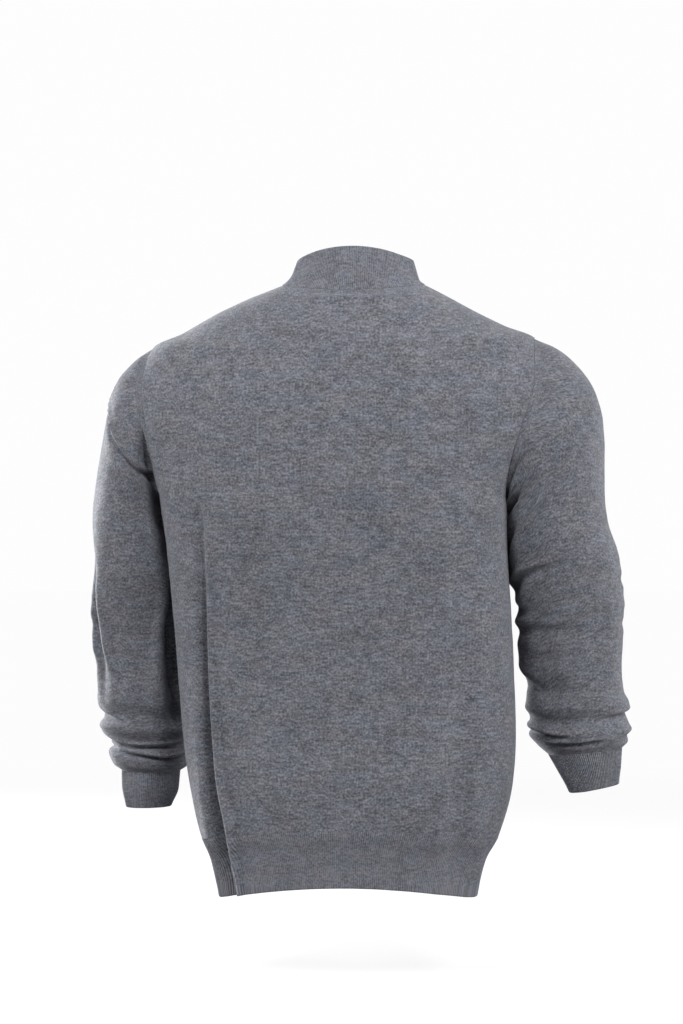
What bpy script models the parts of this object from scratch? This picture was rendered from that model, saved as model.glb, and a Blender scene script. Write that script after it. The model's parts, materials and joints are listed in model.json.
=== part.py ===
"""A men's fine-knit mock-neck sweater, standing open in the shape it is worn in.

Metres, +Z up. The wearer faces -Y, so +X is the wearer's left. The origin is the middle
of the neck base, level with the tops of the shoulder seams, where the wearer carries it.

The torso is one form: level loops of cloth, one for each row of TORSO, which the side
seams, shoulder seams and armholes divide into a front and a back. Each sleeve is a row of
rings that starts on the armhole and turns down over the arm. Every piece is an open sheet
with a Solidify modifier for its wall, and stops just short of its neighbours at the seams.
"""
import math
from collections import namedtuple

import bmesh
import bpy
import numpy as np

# Cloth
JERSEY_WALL = 0.0020
RIB_WALL = 0.0024
COLLAR_WALL = 0.0030       # the collar is a doubled band
SEAM_GAP = 0.0003
SELVEDGE = 0.004           # narrow strip along a seam, so that both walls meet it squarely

# Armholes: the depth of the opening behind and in front of the shoulder line, how far the
# front edge is scooped inwards, and how much flatter the cloth lies beside the opening
ARMHOLE_BACK = 0.055
ARMHOLE_FRONT = 0.060
ARMHOLE_SCOOP = 0.008
ARMHOLE_FLATNESS = 0.7
SHOULDER_TIP_Z = -0.064
UNDERARM_Z = -0.235
RIB_SEAM_Z = -0.622

# Facets: cells along each stretch of the torso and across each panel
ARMHOLE_CELLS = 8
BACK_CELLS = 16
PLEAT_SIDE_CELLS = 4
FRONT_CELLS = 20
CURVE_STEPS = 240

Loop = namedtuple("Loop", "side_z tilt left right side_y back_z back_y front_z front_y box")

# One loop of the torso: height at the sides, how much lower the wearer's left side hangs,
# reach to the left and right, where the sides are front to back, the height and reach of
# the middle of the back and of the front, and how boxy it is (2 is an ellipse).
TORSO = [Loop(*row) for row in (
    # side_z   tilt   left   right  side_y  back_z  back_y  front_z front_y  box
    (+0.0015, 0.0000, 0.0840, 0.0790, 0.000, -0.0075, 0.0650, -0.0400, -0.0680, 2.0),  # neck seam
    (-0.0130, 0.0005, 0.1235, 0.1060, -0.004, -0.0240, 0.0775, -0.0560, -0.0770, 2.0),
    (-0.0300, 0.0020, 0.1635, 0.1345, -0.007, -0.0420, 0.0875, -0.0740, -0.0865, 2.0),
    (-0.0480, 0.0035, 0.1985, 0.1680, -0.008, -0.0600, 0.0955, -0.0925, -0.0945, 2.0),
    (-0.0640, 0.0045, 0.2360, 0.2020, -0.008, -0.0750, 0.1010, -0.1070, -0.0995, 2.1),  # shoulder tip
    (-0.1100, 0.0030, 0.2405, 0.2040, 0.000, -0.1150, 0.1105, -0.1380, -0.1080, 2.4),
    (-0.1600, 0.0010, 0.2360, 0.1905, 0.006, -0.1620, 0.1165, -0.1740, -0.1120, 2.7),
    (-0.2350, 0.0000, 0.2250, 0.1715, 0.012, -0.2350, 0.1175, -0.2350, -0.1120, 2.9),  # underarm
    (-0.3000, 0.0000, 0.2165, 0.1725, 0.015, -0.3000, 0.1140, -0.3000, -0.1110, 2.7),
    (-0.3700, 0.0000, 0.2075, 0.1765, 0.017, -0.3700, 0.1085, -0.3700, -0.1090, 2.5),
    (-0.4400, 0.0000, 0.2010, 0.1800, 0.019, -0.4400, 0.1060, -0.4400, -0.1070, 2.4),
    (-0.5100, 0.0000, 0.1950, 0.1820, 0.020, -0.5080, 0.1060, -0.5100, -0.1050, 2.4),
    (-0.5600, 0.0000, 0.1875, 0.1770, 0.020, -0.5550, 0.1090, -0.5600, -0.1040, 2.4),
    (-0.6220, 0.0010, 0.1730, 0.1590, 0.021, -0.6070, 0.1090, -0.6200, -0.0990, 2.3),  # rib seam
    (-0.6460, 0.0010, 0.1620, 0.1470, 0.022, -0.6310, 0.1040, -0.6440, -0.0910, 2.2),
    (-0.6700, 0.0010, 0.1557, 0.1410, 0.023, -0.6530, 0.1010, -0.6680, -0.0870, 2.2),
    (-0.6880, 0.0015, 0.1523, 0.1388, 0.024, -0.6710, 0.1000, -0.6870, -0.0860, 2.2),  # hem
)]

# The deep pleat down the left of the back: where it is and how far it sinks
Pleat = namedtuple("Pleat", "z x depth")
PLEAT = [Pleat(*row) for row in (
    # z       x      depth
    (-0.235, 0.165, 0.000),
    (-0.300, 0.162, 0.004),
    (-0.410, 0.159, 0.009),
    (-0.525, 0.152, 0.012),
    (-0.600, 0.140, 0.015),
    (-0.650, 0.132, 0.013),
    (-0.690, 0.125, 0.009),
)]
PLEAT_LIP = 0.010          # from the bottom of the pleat to the lip on each side

# One ring of a sleeve: its outermost and innermost points, its middle front to back, and
# its half depth. Reaches are measured from the garment's middle, on either side.
Ring = namedtuple("Ring", "out_x out_z in_x in_z mid_y half_depth")

LEFT_SLEEVE = [Ring(*row) for row in (
    # out_x   out_z   in_x    in_z   mid_y   half_depth
    (0.2545, -0.0825, 0.2283, -0.2405, -0.001, 0.0605),
    (0.2715, -0.1030, 0.2285, -0.2425, -0.002, 0.0630),
    (0.2820, -0.1275, 0.2285, -0.2450, -0.004, 0.0640),
    (0.2880, -0.1600, 0.2280, -0.2490, -0.006, 0.0640),
    (0.2945, -0.1960, 0.2270, -0.2560, -0.009, 0.0635),
    (0.3000, -0.2300, 0.2240, -0.2700, -0.013, 0.0625),
    (0.3050, -0.2700, 0.2195, -0.2930, -0.018, 0.0610),
    (0.3060, -0.3150, 0.2125, -0.3250, -0.024, 0.0595),
    (0.3085, -0.3570, 0.2037, -0.3600, -0.031, 0.0585),
    (0.3085, -0.4035, 0.1995, -0.4040, -0.039, 0.0570),
    (0.3060, -0.4400, 0.1985, -0.4420, -0.045, 0.0555),
    (0.3075, -0.4720, 0.1955, -0.4740, -0.050, 0.0560),  # upper roll
    (0.2965, -0.4915, 0.2010, -0.4925, -0.053, 0.0505),
    (0.3045, -0.5020, 0.1970, -0.5050, -0.055, 0.0530),  # middle roll
    (0.2910, -0.5210, 0.2030, -0.5220, -0.057, 0.0460),
    (0.2960, -0.5320, 0.2000, -0.5330, -0.058, 0.0480),  # lower roll
    (0.2895, -0.5460, 0.2060, -0.5480, -0.060, 0.0430),
    (0.2833, -0.5550, 0.2120, -0.5560, -0.061, 0.0370),  # cuff seam
)]
LEFT_CUFF = [Ring(*row) for row in (
    (0.2810, -0.5750, 0.2132, -0.5760, -0.063, 0.0350),
    (0.2779, -0.5980, 0.2222, -0.5975, -0.066, 0.0300),
)]

RIGHT_SLEEVE = [Ring(*row) for row in (
    # out_x   out_z   in_x    in_z   mid_y   half_depth
    (0.2285, -0.0720, 0.1748, -0.2405, -0.001, 0.0605),
    (0.2544, -0.0948, 0.1755, -0.2425, -0.002, 0.0630),
    (0.2700, -0.1190, 0.1760, -0.2450, -0.004, 0.0640),
    (0.2792, -0.1513, 0.1760, -0.2490, -0.006, 0.0640),
    (0.2812, -0.1880, 0.1757, -0.2560, -0.009, 0.0635),
    (0.2810, -0.2300, 0.1750, -0.2700, -0.013, 0.0625),
    (0.2845, -0.2640, 0.1745, -0.2880, -0.018, 0.0610),
    (0.2965, -0.3080, 0.1760, -0.3180, -0.024, 0.0600),
    (0.2995, -0.3560, 0.1800, -0.3560, -0.031, 0.0600),
    (0.3016, -0.4010, 0.1815, -0.4010, -0.039, 0.0585),
    (0.3004, -0.4360, 0.1850, -0.4390, -0.045, 0.0570),
    (0.3027, -0.4600, 0.1930, -0.4590, -0.049, 0.0555),
    (0.3085, -0.4740, 0.1905, -0.4780, -0.051, 0.0575),  # upper roll
    (0.3060, -0.4900, 0.1950, -0.4930, -0.053, 0.0530),
    (0.3106, -0.5040, 0.1938, -0.5080, -0.055, 0.0550),  # lower roll
    (0.3060, -0.5180, 0.2040, -0.5220, -0.056, 0.0490),
    (0.3000, -0.5250, 0.2165, -0.5330, -0.057, 0.0420),  # cuff seam
)]
RIGHT_CUFF = [Ring(*row) for row in (
    (0.2991, -0.5450, 0.2279, -0.5530, -0.059, 0.0360),
    (0.2968, -0.5670, 0.2404, -0.5776, -0.062, 0.0300),
)]

# The sleeve's first strip beside the armhole seam: it carries on down the shoulder's slope
# at the top, and turns down over the side of the torso at the underarm
SLEEVE_HEAD_STRIP = 0.004
SHOULDER_SLOPE = math.radians(26)
UNDERARM_SLOPE = math.radians(60)

# Collar loops above the neck seam: reach to the left and right, the height of the sides,
# and the reach and height of the middle of the back and of the front
CollarLoop = namedtuple("CollarLoop", "left right side_z back_y back_z front_y front_z")
COLLAR = [CollarLoop(*row) for row in (
    # left    right   side_z  back_y  back_z  front_y  front_z
    (0.0775, 0.0725, 0.0065, 0.0625, 0.0020, -0.0660, -0.0310),
    (0.0725, 0.0700, 0.0130, 0.0605, 0.0130, -0.0645, -0.0200),
    (0.0690, 0.0675, 0.0220, 0.0580, 0.0280, -0.0615, -0.0020),
    (0.0660, 0.0650, 0.0300, 0.0555, 0.0424, -0.0585, 0.0165),   # rim
)]

MARL_GREY = (0.155, 0.162, 0.184, 1.0)
RIB_GREY = (0.150, 0.158, 0.180, 1.0)


def eased(at, stations, values):
    """A curve through values that is smooth and never overshoots, read at one station."""
    stations = np.asarray(stations, dtype=float)
    values = np.asarray(values, dtype=float)
    spans = np.diff(stations)
    slopes = np.diff(values) / spans
    bends = slopes[:-1] * slopes[1:] > 0
    inner = np.zeros(len(bends))
    inner[bends] = 2 * slopes[:-1][bends] * slopes[1:][bends] / (slopes[:-1] + slopes[1:])[bends]
    tangents = np.concatenate([[slopes[0]], inner, [slopes[-1]]])
    at = np.clip(at, stations[0], stations[-1])
    run = int(np.clip(np.searchsorted(stations, at) - 1, 0, len(spans) - 1))
    share = (at - stations[run]) / spans[run]
    start = (1 + 2 * share) * (1 - share) ** 2 * values[run]
    end = share ** 2 * (3 - 2 * share) * values[run + 1]
    leave = share * (1 - share) ** 2 * spans[run] * tangents[run]
    arrive = share ** 2 * (share - 1) * spans[run] * tangents[run + 1]
    return start + end + leave + arrive


def torso_loop(z):
    """The torso's loop at a height of its sides, eased between TORSO's rows."""
    depths = [-row.side_z for row in TORSO]
    return Loop(*(eased(-z, depths, column) for column in zip(*TORSO)))


def half_curve(loop, facing, armhole):
    """The back (facing 1) or front (-1) half of a loop, from the wearer's right to left.

    armhole is 0 where the half ends on a side or shoulder seam, and up to 1 where it ends
    halfway up an armhole, whose edge stands away from the shoulder line.
    """
    turn = np.linspace(-math.pi / 2, math.pi / 2, CURVE_STEPS)
    across = np.sin(turn)
    level = np.cos(turn) ** 2
    middle_y, middle_z = (loop.back_y, loop.back_z) if facing > 0 else (loop.front_y, loop.front_z)
    scoop = ARMHOLE_SCOOP * armhole if facing < 0 else 0.0
    left, right = loop.left - scoop, loop.right - scoop
    edge_y = loop.side_y + facing * armhole * (ARMHOLE_BACK if facing > 0 else ARMHOLE_FRONT)
    bulge = (1 - np.abs(across) ** loop.box) ** ((1 + ARMHOLE_FLATNESS * armhole) / loop.box)
    x = (left - right) / 2 + (left + right) / 2 * across
    y = edge_y + (middle_y - edge_y) * bulge
    z = loop.side_z - loop.tilt * across + (middle_z - loop.side_z) * level
    return np.column_stack([x, y, z])


def distances(curve):
    """How far along a curve each of its points is."""
    steps = np.linalg.norm(np.diff(curve, axis=0), axis=1)
    return np.concatenate([[0.0], np.cumsum(steps)])


def points_at(curve, stations):
    """Points of a curve at the given distances along it."""
    along = distances(curve)
    return np.column_stack([np.interp(stations, along, curve[:, axis]) for axis in range(3)])


def back_stations(curve, pleat_x):
    """Distances for the back panel's columns: seam strips at the sides, three at the pleat."""
    along = distances(curve)
    start = SEAM_GAP / 2
    end = along[-1] - SEAM_GAP / 2
    pleat = np.interp(pleat_x, curve[:, 0], along)
    main = np.linspace(start + SELVEDGE, pleat - PLEAT_LIP, BACK_CELLS + 1)
    side = np.linspace(pleat + PLEAT_LIP, end - SELVEDGE, PLEAT_SIDE_CELLS + 1)
    return np.concatenate([[start], main, [pleat], side, [end]])


def front_stations(curve):
    """Distances for the front panel's columns: even, with a seam strip at each side."""
    start = SEAM_GAP / 2
    end = distances(curve)[-1] - SEAM_GAP / 2
    return np.concatenate([[start], np.linspace(start + SELVEDGE, end - SELVEDGE, FRONT_CELLS + 1), [end]])


def torso_row(z, facing, armhole=0.0):
    """One row of points of the back or front, right to left, with the pleat sunk in."""
    curve = half_curve(torso_loop(z), facing, armhole)
    if facing < 0:
        return points_at(curve, front_stations(curve))
    depths = [-row.z for row in PLEAT]
    pleat_x = eased(-z, depths, [row.x for row in PLEAT])
    reach = 0.9 * curve[:, 0].max()
    row = points_at(curve, back_stations(curve, min(pleat_x, reach)))
    sink = eased(-z, depths, [row.depth for row in PLEAT])
    row[BACK_CELLS + 2, 1] -= sink
    return row


def torso_heights(part):
    """Side heights and armhole shares of the rows of the panels or of the hem ribs."""
    if part == "rib":
        edge = RIB_SEAM_Z - SEAM_GAP / 2
        return [(z, 0.0) for z in (edge, edge - SELVEDGE, -0.646, -0.670, TORSO[-1].side_z)]
    shoulder = [TORSO[0].side_z, TORSO[0].side_z - SELVEDGE] + [row.side_z for row in TORSO[1:4]]
    middle = (SHOULDER_TIP_Z + UNDERARM_Z) / 2
    half = (SHOULDER_TIP_Z - UNDERARM_Z) / 2
    turns = np.linspace(math.pi / 2, -math.pi / 2, ARMHOLE_CELLS + 1)
    armhole = [(middle + half * math.sin(turn), math.cos(turn)) for turn in turns]
    edge = RIB_SEAM_Z + SEAM_GAP / 2
    lower = [-0.265, -0.300, -0.340, -0.385, -0.440, -0.500, -0.560, -0.595, edge + SELVEDGE, edge]
    return [(z, 0.0) for z in shoulder] + armhole + [(z, 0.0) for z in lower]


def torso_rows(part, facing):
    return [torso_row(z, facing, armhole) for z, armhole in torso_heights(part)]


def armhole_ring(side):
    """The armhole's edge as a ring: underarm, up the back, shoulder tip, down the front."""
    edge = -1 if side > 0 else 0
    first = 5                                  # shoulder rows above the armhole's
    rows = slice(first, first + ARMHOLE_CELLS + 1)
    back = np.array([row[edge] for row in torso_rows("panel", 1)[rows]])[::-1]
    front = np.array([row[edge] for row in torso_rows("panel", -1)[rows]])
    underarm = (back[0] + front[-1]) / 2
    tip = (back[-1] + front[0]) / 2
    return np.vstack([[underarm], back[1:-1], [tip], front[1:-1]])


def sleeve_ring(ring, side):
    """One ring of a sleeve, in the same order as the armhole's edge."""
    turns = np.linspace(-math.pi / 2, 1.5 * math.pi, 2 * ARMHOLE_CELLS, endpoint=False)
    rise = np.sin(turns)[:, None]
    out = np.array([side * ring.out_x, ring.mid_y, ring.out_z])
    inner = np.array([side * ring.in_x, ring.mid_y, ring.in_z])
    depth = np.cos(turns)[:, None] * np.array([0.0, ring.half_depth, 0.0])
    return (out + inner) / 2 + rise * (out - inner) / 2 + depth


def sleeve_rings(rings, side):
    """The sleeve from the armhole to the cuff seam."""
    head = armhole_ring(side)
    turns = np.linspace(-math.pi / 2, 1.5 * math.pi, 2 * ARMHOLE_CELLS, endpoint=False)
    rise = np.sin(turns)
    slope = SHOULDER_SLOPE * np.clip(rise, 0, 1) + UNDERARM_SLOPE * np.clip(-rise, 0, 1)
    outwards = np.column_stack([side * np.cos(slope), 0 * slope, -np.sin(slope)])
    start = head + outwards * SEAM_GAP
    return [start, start + outwards * SLEEVE_HEAD_STRIP] + [sleeve_ring(ring, side) for ring in rings]


def collar_rings():
    """The collar from the neck seam to its rim, column for column with the panels' tops."""
    back = torso_rows("panel", 1)[0]
    front = torso_rows("panel", -1)[0]
    base = np.vstack([back, front[::-1]]) + np.array([0.0, 0.0, SEAM_GAP])
    neck = TORSO[0]
    on_left = base[:, 0] > 0
    across = base[:, 0] / np.where(on_left, neck.left, neck.right)
    behind = base[:, 1] > 0
    reach = np.where(behind, base[:, 1] / neck.back_y, base[:, 1] / neck.front_y)
    rings = [base]
    for loop in COLLAR:
        x = across * np.where(on_left, loop.left, loop.right)
        y = reach * np.where(behind, loop.back_y, loop.front_y)
        middle_z = np.where(behind, loop.back_z, loop.front_z)
        z = loop.side_z + (middle_z - loop.side_z) * (1 - across ** 2)
        rings.append(np.column_stack([x, y, z]))
    return rings


def knit_material(name, colour):
    material = bpy.data.materials.new(name)
    material.use_nodes = True
    shader = material.node_tree.nodes["Principled BSDF"]
    shader.inputs["Base Color"].default_value = colour
    shader.inputs["Roughness"].default_value = 0.9
    shader.inputs["Metallic"].default_value = 0.0
    return material


def cloth(name, rows, wall, material, collection, tube=False, facing=1):
    """A sheet through rows of points, or a tube through rings, with its wall inside it."""
    mesh = bpy.data.meshes.new(name)
    sheet = bmesh.new()
    grid = [[sheet.verts.new(point) for point in row] for row in rows]
    columns = len(grid[0])
    for upper, lower in zip(grid, grid[1:]):
        for column in range(columns if tube else columns - 1):
            following = (column + 1) % columns
            corners = (upper[column], upper[following], lower[following], lower[column])
            sheet.faces.new(corners if facing > 0 else corners[::-1])
    sheet.to_mesh(mesh)
    sheet.free()
    mesh.materials.append(material)
    mesh.shade_smooth()
    piece = bpy.data.objects.new(name, mesh)
    collection.objects.link(piece)
    thickness = piece.modifiers.new("wall", "SOLIDIFY")
    thickness.thickness = wall
    thickness.offset = -1.0
    return piece


def build_torso(jersey, rib, collection):
    for name, facing in (("back", 1), ("front", -1)):
        cloth(name + "_panel", torso_rows("panel", facing), JERSEY_WALL, jersey, collection, facing=facing)
        cloth(name + "_hem_rib", torso_rows("rib", facing), RIB_WALL, rib, collection, facing=facing)


def build_arm(name, side, sleeve, cuff, jersey, rib, collection):
    rings = sleeve_rings(sleeve, side)
    cloth("sleeve_" + name, rings, JERSEY_WALL, jersey, collection, tube=True, facing=side)
    seam = rings[-1] - np.array([0.0, 0.0, SEAM_GAP])
    cuff_rings = [seam] + [sleeve_ring(ring, side) for ring in cuff]
    cloth("cuff_" + name, cuff_rings, RIB_WALL, rib, collection, tube=True, facing=side)


def main():
    for leftover in list(bpy.data.objects):
        bpy.data.objects.remove(leftover, do_unlink=True)
    collection = bpy.data.collections.new("mock_neck_sweater")
    bpy.context.scene.collection.children.link(collection)
    jersey = knit_material("jersey_knit", MARL_GREY)
    rib = knit_material("rib_knit", RIB_GREY)
    build_torso(jersey, rib, collection)
    build_arm("left", 1, LEFT_SLEEVE, LEFT_CUFF, jersey, rib, collection)
    build_arm("right", -1, RIGHT_SLEEVE, RIGHT_CUFF, jersey, rib, collection)
    cloth("collar", collar_rings(), COLLAR_WALL, rib, collection, tube=True, facing=-1)


main()
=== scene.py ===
# %% [markdown]
# # A mock-neck sweater in fine grey marl
# The sweater stands open in the shape that it is worn in, with nobody inside it. The packed
# CAD part under this file already has its pieces, sizes and seams, as plain faceted walls.
# Here each wall is made again as real cloth: the same form read much more finely, its folds,
# its tucks above the cuffs, its ribs, and the two knits that it is made of.
# Everything is in metres with +Z up. The wearer faces -Y, so their left side is at +X.

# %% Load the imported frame
import json
import math
from collections import namedtuple

import bpy
import numpy as np
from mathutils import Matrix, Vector, noise

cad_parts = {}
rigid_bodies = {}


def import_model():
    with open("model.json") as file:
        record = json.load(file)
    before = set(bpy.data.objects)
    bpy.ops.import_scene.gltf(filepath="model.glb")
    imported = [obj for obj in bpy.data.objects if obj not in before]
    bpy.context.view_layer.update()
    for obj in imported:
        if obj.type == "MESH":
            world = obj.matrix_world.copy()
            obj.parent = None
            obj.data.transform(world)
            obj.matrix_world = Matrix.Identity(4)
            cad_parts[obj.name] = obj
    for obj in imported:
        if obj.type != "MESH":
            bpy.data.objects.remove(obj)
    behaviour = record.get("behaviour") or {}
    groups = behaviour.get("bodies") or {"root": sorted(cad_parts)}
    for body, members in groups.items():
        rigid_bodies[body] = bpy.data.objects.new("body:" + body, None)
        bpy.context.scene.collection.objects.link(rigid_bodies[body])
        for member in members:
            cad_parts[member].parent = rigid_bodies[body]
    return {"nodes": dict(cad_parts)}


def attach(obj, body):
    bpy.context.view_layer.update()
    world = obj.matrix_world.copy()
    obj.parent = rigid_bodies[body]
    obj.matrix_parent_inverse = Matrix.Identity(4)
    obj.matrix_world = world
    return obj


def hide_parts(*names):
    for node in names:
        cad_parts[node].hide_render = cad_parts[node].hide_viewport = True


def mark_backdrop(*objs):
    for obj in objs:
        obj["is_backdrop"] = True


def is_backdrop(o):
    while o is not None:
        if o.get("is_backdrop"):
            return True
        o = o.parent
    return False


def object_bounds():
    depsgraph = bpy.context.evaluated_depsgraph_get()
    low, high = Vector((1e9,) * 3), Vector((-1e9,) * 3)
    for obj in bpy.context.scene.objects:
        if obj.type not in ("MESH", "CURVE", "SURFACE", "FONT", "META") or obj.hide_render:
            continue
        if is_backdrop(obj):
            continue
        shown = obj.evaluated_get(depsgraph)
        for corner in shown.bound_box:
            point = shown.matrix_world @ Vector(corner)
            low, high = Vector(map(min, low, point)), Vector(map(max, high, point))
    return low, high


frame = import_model()
cad_box = [list(corner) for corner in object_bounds()]
print("nodes:", sorted(frame["nodes"]))
print("CAD box in metres:", [[round(side, 4) for side in corner] for corner in cad_box])

# %% [markdown]
# ## Reading a short table as a smooth curve
# A garment's form is drawn from few measures: how wide it is at the shoulder, the underarm
# and the hem. Between two measures the cloth runs in an easy curve and never bulges past
# either of them. A monotone cubic does just that. A plain spline would overshoot, and
# straight runs would show as flat bands. The whole table is read in one call with numpy.

# %% A curve that never overshoots
def ease_through(stations, values, at):
    """Read a smooth curve through values, one for each station, at every place in at."""
    stations = np.asarray(stations, dtype=float)
    values = np.asarray(values, dtype=float)
    at = np.clip(np.atleast_1d(np.asarray(at, dtype=float)), stations[0], stations[-1])
    along = (-1,) + (1,) * (values.ndim - 1)
    spans = np.diff(stations).reshape(along)
    slopes = np.diff(values, axis=0) / spans
    before, after = slopes[:-1], slopes[1:]
    level = before * after <= 0
    tangents = np.where(level, 0.0, 2 * before * after / np.where(level, 1.0, before + after))
    tangents = np.concatenate([slopes[:1], tangents, slopes[-1:]])
    run = np.clip(np.searchsorted(stations, at) - 1, 0, len(stations) - 2)
    share = (at - stations[run]).reshape(along) / spans[run]
    start = (1 + 2 * share) * (1 - share) ** 2 * values[run]
    end = share ** 2 * (3 - 2 * share) * values[run + 1]
    leave = share * (1 - share) ** 2 * spans[run] * tangents[run]
    arrive = share ** 2 * (share - 1) * spans[run] * tangents[run + 1]
    return start + end + leave + arrive


def smoothstep(low, high, value):
    """0 up to low, 1 from high on, and an easy rise between them."""
    share = np.clip((value - low) / (high - low), 0, 1)
    return share * share * (3 - 2 * share)


print("halfway between 0 and 1:", ease_through([0, 1], [0, 1], 0.5)[0])

# %% [markdown]
# ## The torso
# The body of a sweater is a front and a back, joined at the shoulders and down the sides.
# Its form is a stack of level loops of cloth, and each row of the table below is one loop,
# from the neck seam down to the hem. Each is within 5 mm of the loop that the CAD walls were
# made from: on the left the cloth hangs a little closer.

# %% The torso's loops
Loop = namedtuple("Loop", "side_z tilt left right side_y back_z back_y front_z front_y box")
TORSO = [Loop(*row) for row in (
    # side_z   tilt   left   right  side_y  back_z  back_y  front_z front_y  box
    (+0.0015, 0.0000, 0.0840, 0.0790, 0.000, -0.0075, 0.0650, -0.0400, -0.0680, 2.0),  # neck seam
    (-0.0130, 0.0005, 0.1235, 0.1060, -0.004, -0.0240, 0.0775, -0.0560, -0.0770, 2.0),
    (-0.0300, 0.0020, 0.1635, 0.1345, -0.007, -0.0420, 0.0875, -0.0740, -0.0865, 2.0),
    (-0.0480, 0.0035, 0.1985, 0.1680, -0.008, -0.0600, 0.0955, -0.0925, -0.0945, 2.0),
    (-0.0640, 0.0045, 0.2325, 0.2020, -0.008, -0.0750, 0.1010, -0.1070, -0.0995, 2.1),  # tip
    (-0.1100, 0.0030, 0.2385, 0.2040, 0.000, -0.1150, 0.1105, -0.1380, -0.1080, 2.4),
    (-0.1600, 0.0010, 0.2315, 0.1905, 0.006, -0.1620, 0.1165, -0.1740, -0.1120, 2.7),
    (-0.2080, 0.0003, 0.2245, 0.1755, 0.010, -0.2085, 0.1173, -0.2130, -0.1120, 2.8),
    (-0.2350, 0.0000, 0.2208, 0.1715, 0.012, -0.2350, 0.1175, -0.2350, -0.1120, 2.9),  # underarm
    (-0.3000, 0.0000, 0.2122, 0.1725, 0.015, -0.3000, 0.1140, -0.3000, -0.1110, 2.7),
    (-0.3700, 0.0000, 0.2057, 0.1765, 0.017, -0.3700, 0.1085, -0.3700, -0.1090, 2.5),
    (-0.4400, 0.0000, 0.1998, 0.1800, 0.019, -0.4400, 0.1060, -0.4400, -0.1070, 2.4),
    (-0.5100, 0.0000, 0.1935, 0.1820, 0.020, -0.5080, 0.1060, -0.5100, -0.1050, 2.4),
    (-0.5600, 0.0000, 0.1868, 0.1785, 0.020, -0.5550, 0.1090, -0.5600, -0.1040, 2.4),
    (-0.6220, 0.0010, 0.1728, 0.1618, 0.021, -0.6070, 0.1090, -0.6200, -0.0990, 2.3),  # rib seam
    (-0.6460, 0.0010, 0.1622, 0.1487, 0.022, -0.6310, 0.1040, -0.6440, -0.0910, 2.2),
    (-0.6700, 0.0010, 0.1557, 0.1420, 0.023, -0.6530, 0.1010, -0.6680, -0.0870, 2.2),
    (-0.6880, 0.0015, 0.1523, 0.1388, 0.024, -0.6710, 0.1000, -0.6870, -0.0860, 2.2),  # hem
)]
SHOULDER_TIP_Z = -0.064
UNDERARM_Z = -0.235
RIB_SEAM_Z = -0.622
HEM_Z = TORSO[-1].side_z
ARMHOLE_MIDDLE = (SHOULDER_TIP_Z + UNDERARM_Z) / 2
ARMHOLE_HALF = (SHOULDER_TIP_Z - UNDERARM_Z) / 2
SEAM_GAP = 0.0001

# The armhole stands away from the shoulder line behind and in front, its front edge is
# scooped inwards, and the cloth lies flatter beside it
ARMHOLE_BACK = 0.055
ARMHOLE_FRONT = 0.060
ARMHOLE_SCOOP = 0.008
ARMHOLE_FLATNESS = 0.7      # how much flatter, all along the armhole
MIDDLE_FLATNESS = 0.6       # and how much more at its middle


def torso_loop(z):
    depths = [-row.side_z for row in TORSO]
    return Loop(*ease_through(depths, TORSO, -z)[0])


underarm = torso_loop(UNDERARM_Z)
print("width at the underarm:", round(underarm.left + underarm.right, 3))

# %% Half a loop, as a curve in space
CURVE_STEPS = 1600


def half_curve(z, facing, armhole):
    """The back (facing 1) or front (-1) half of the loop at z, from the wearer's right to left.

    armhole is 0 where the half ends on a seam, and up to 1 where it ends on an armhole.
    """
    loop = torso_loop(z)
    turn = np.linspace(-math.pi / 2, math.pi / 2, CURVE_STEPS)
    across = np.sin(turn)
    level = np.cos(turn) ** 2
    middle_y, middle_z = (loop.back_y, loop.back_z) if facing > 0 else (loop.front_y, loop.front_z)
    scoop = ARMHOLE_SCOOP * armhole if facing < 0 else 0.0
    left, right = loop.left - scoop, loop.right - scoop
    edge_y = loop.side_y + facing * armhole * (ARMHOLE_BACK if facing > 0 else ARMHOLE_FRONT)
    flatness = ARMHOLE_FLATNESS * armhole + MIDDLE_FLATNESS * armhole ** 3
    bulge = (1 - np.abs(across) ** loop.box) ** ((1 + flatness) / loop.box)
    x = (left - right) / 2 + (left + right) / 2 * across
    y = edge_y + (middle_y - edge_y) * bulge
    z = loop.side_z - loop.tilt * across + (middle_z - loop.side_z) * level
    return np.column_stack([x, y, z])


def distances(curve, axes=(0, 1, 2)):
    """How far along a curve each of its points is, over some of its axes."""
    steps = np.linalg.norm(np.diff(curve[:, list(axes)], axis=0), axis=1)
    return np.concatenate([[0.0], np.cumsum(steps)])


print("half round at the chest:", round(distances(half_curve(-0.3, 1, 0))[-1], 3))

# %% [markdown]
# ## A sheet of cloth as a grid of points
# A knitted panel is a rectangle of loops, so a grid suits it: rows across the body, columns
# down it. The points are crowded where the cloth turns sharply and spread out where it is
# calm. Each point also gets its place on the flat cloth, u across and v up in metres, so that
# the knit stays at its real size and its courses stay level.

# %% Places of the rows and columns
Sheet = namedtuple("Sheet", "points u v")
SHOULDER_ROWS = 44
ARMHOLE_ROWS = 64
LOWER_ROWS = 104
BAND_ROWS = 22                                  # in a hem rib or a cuff
SEAM_STRIP = (0.0, 0.0008, 0.0018, 0.0032)      # the first points beside every seam
FINE_STEPS = 2001


def crowded(count, focus, reach, extra):
    """count + 1 shares from 0 to 1, closer together within reach of focus."""
    fine = np.linspace(0, 1, FINE_STEPS)
    density = 1 + extra * np.exp(-((fine - focus) / reach) ** 2)
    passed = np.concatenate([[0.0], np.cumsum((density[1:] + density[:-1]) / 2)])
    return np.interp(np.linspace(0, passed[-1], count + 1), passed, fine)


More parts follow.
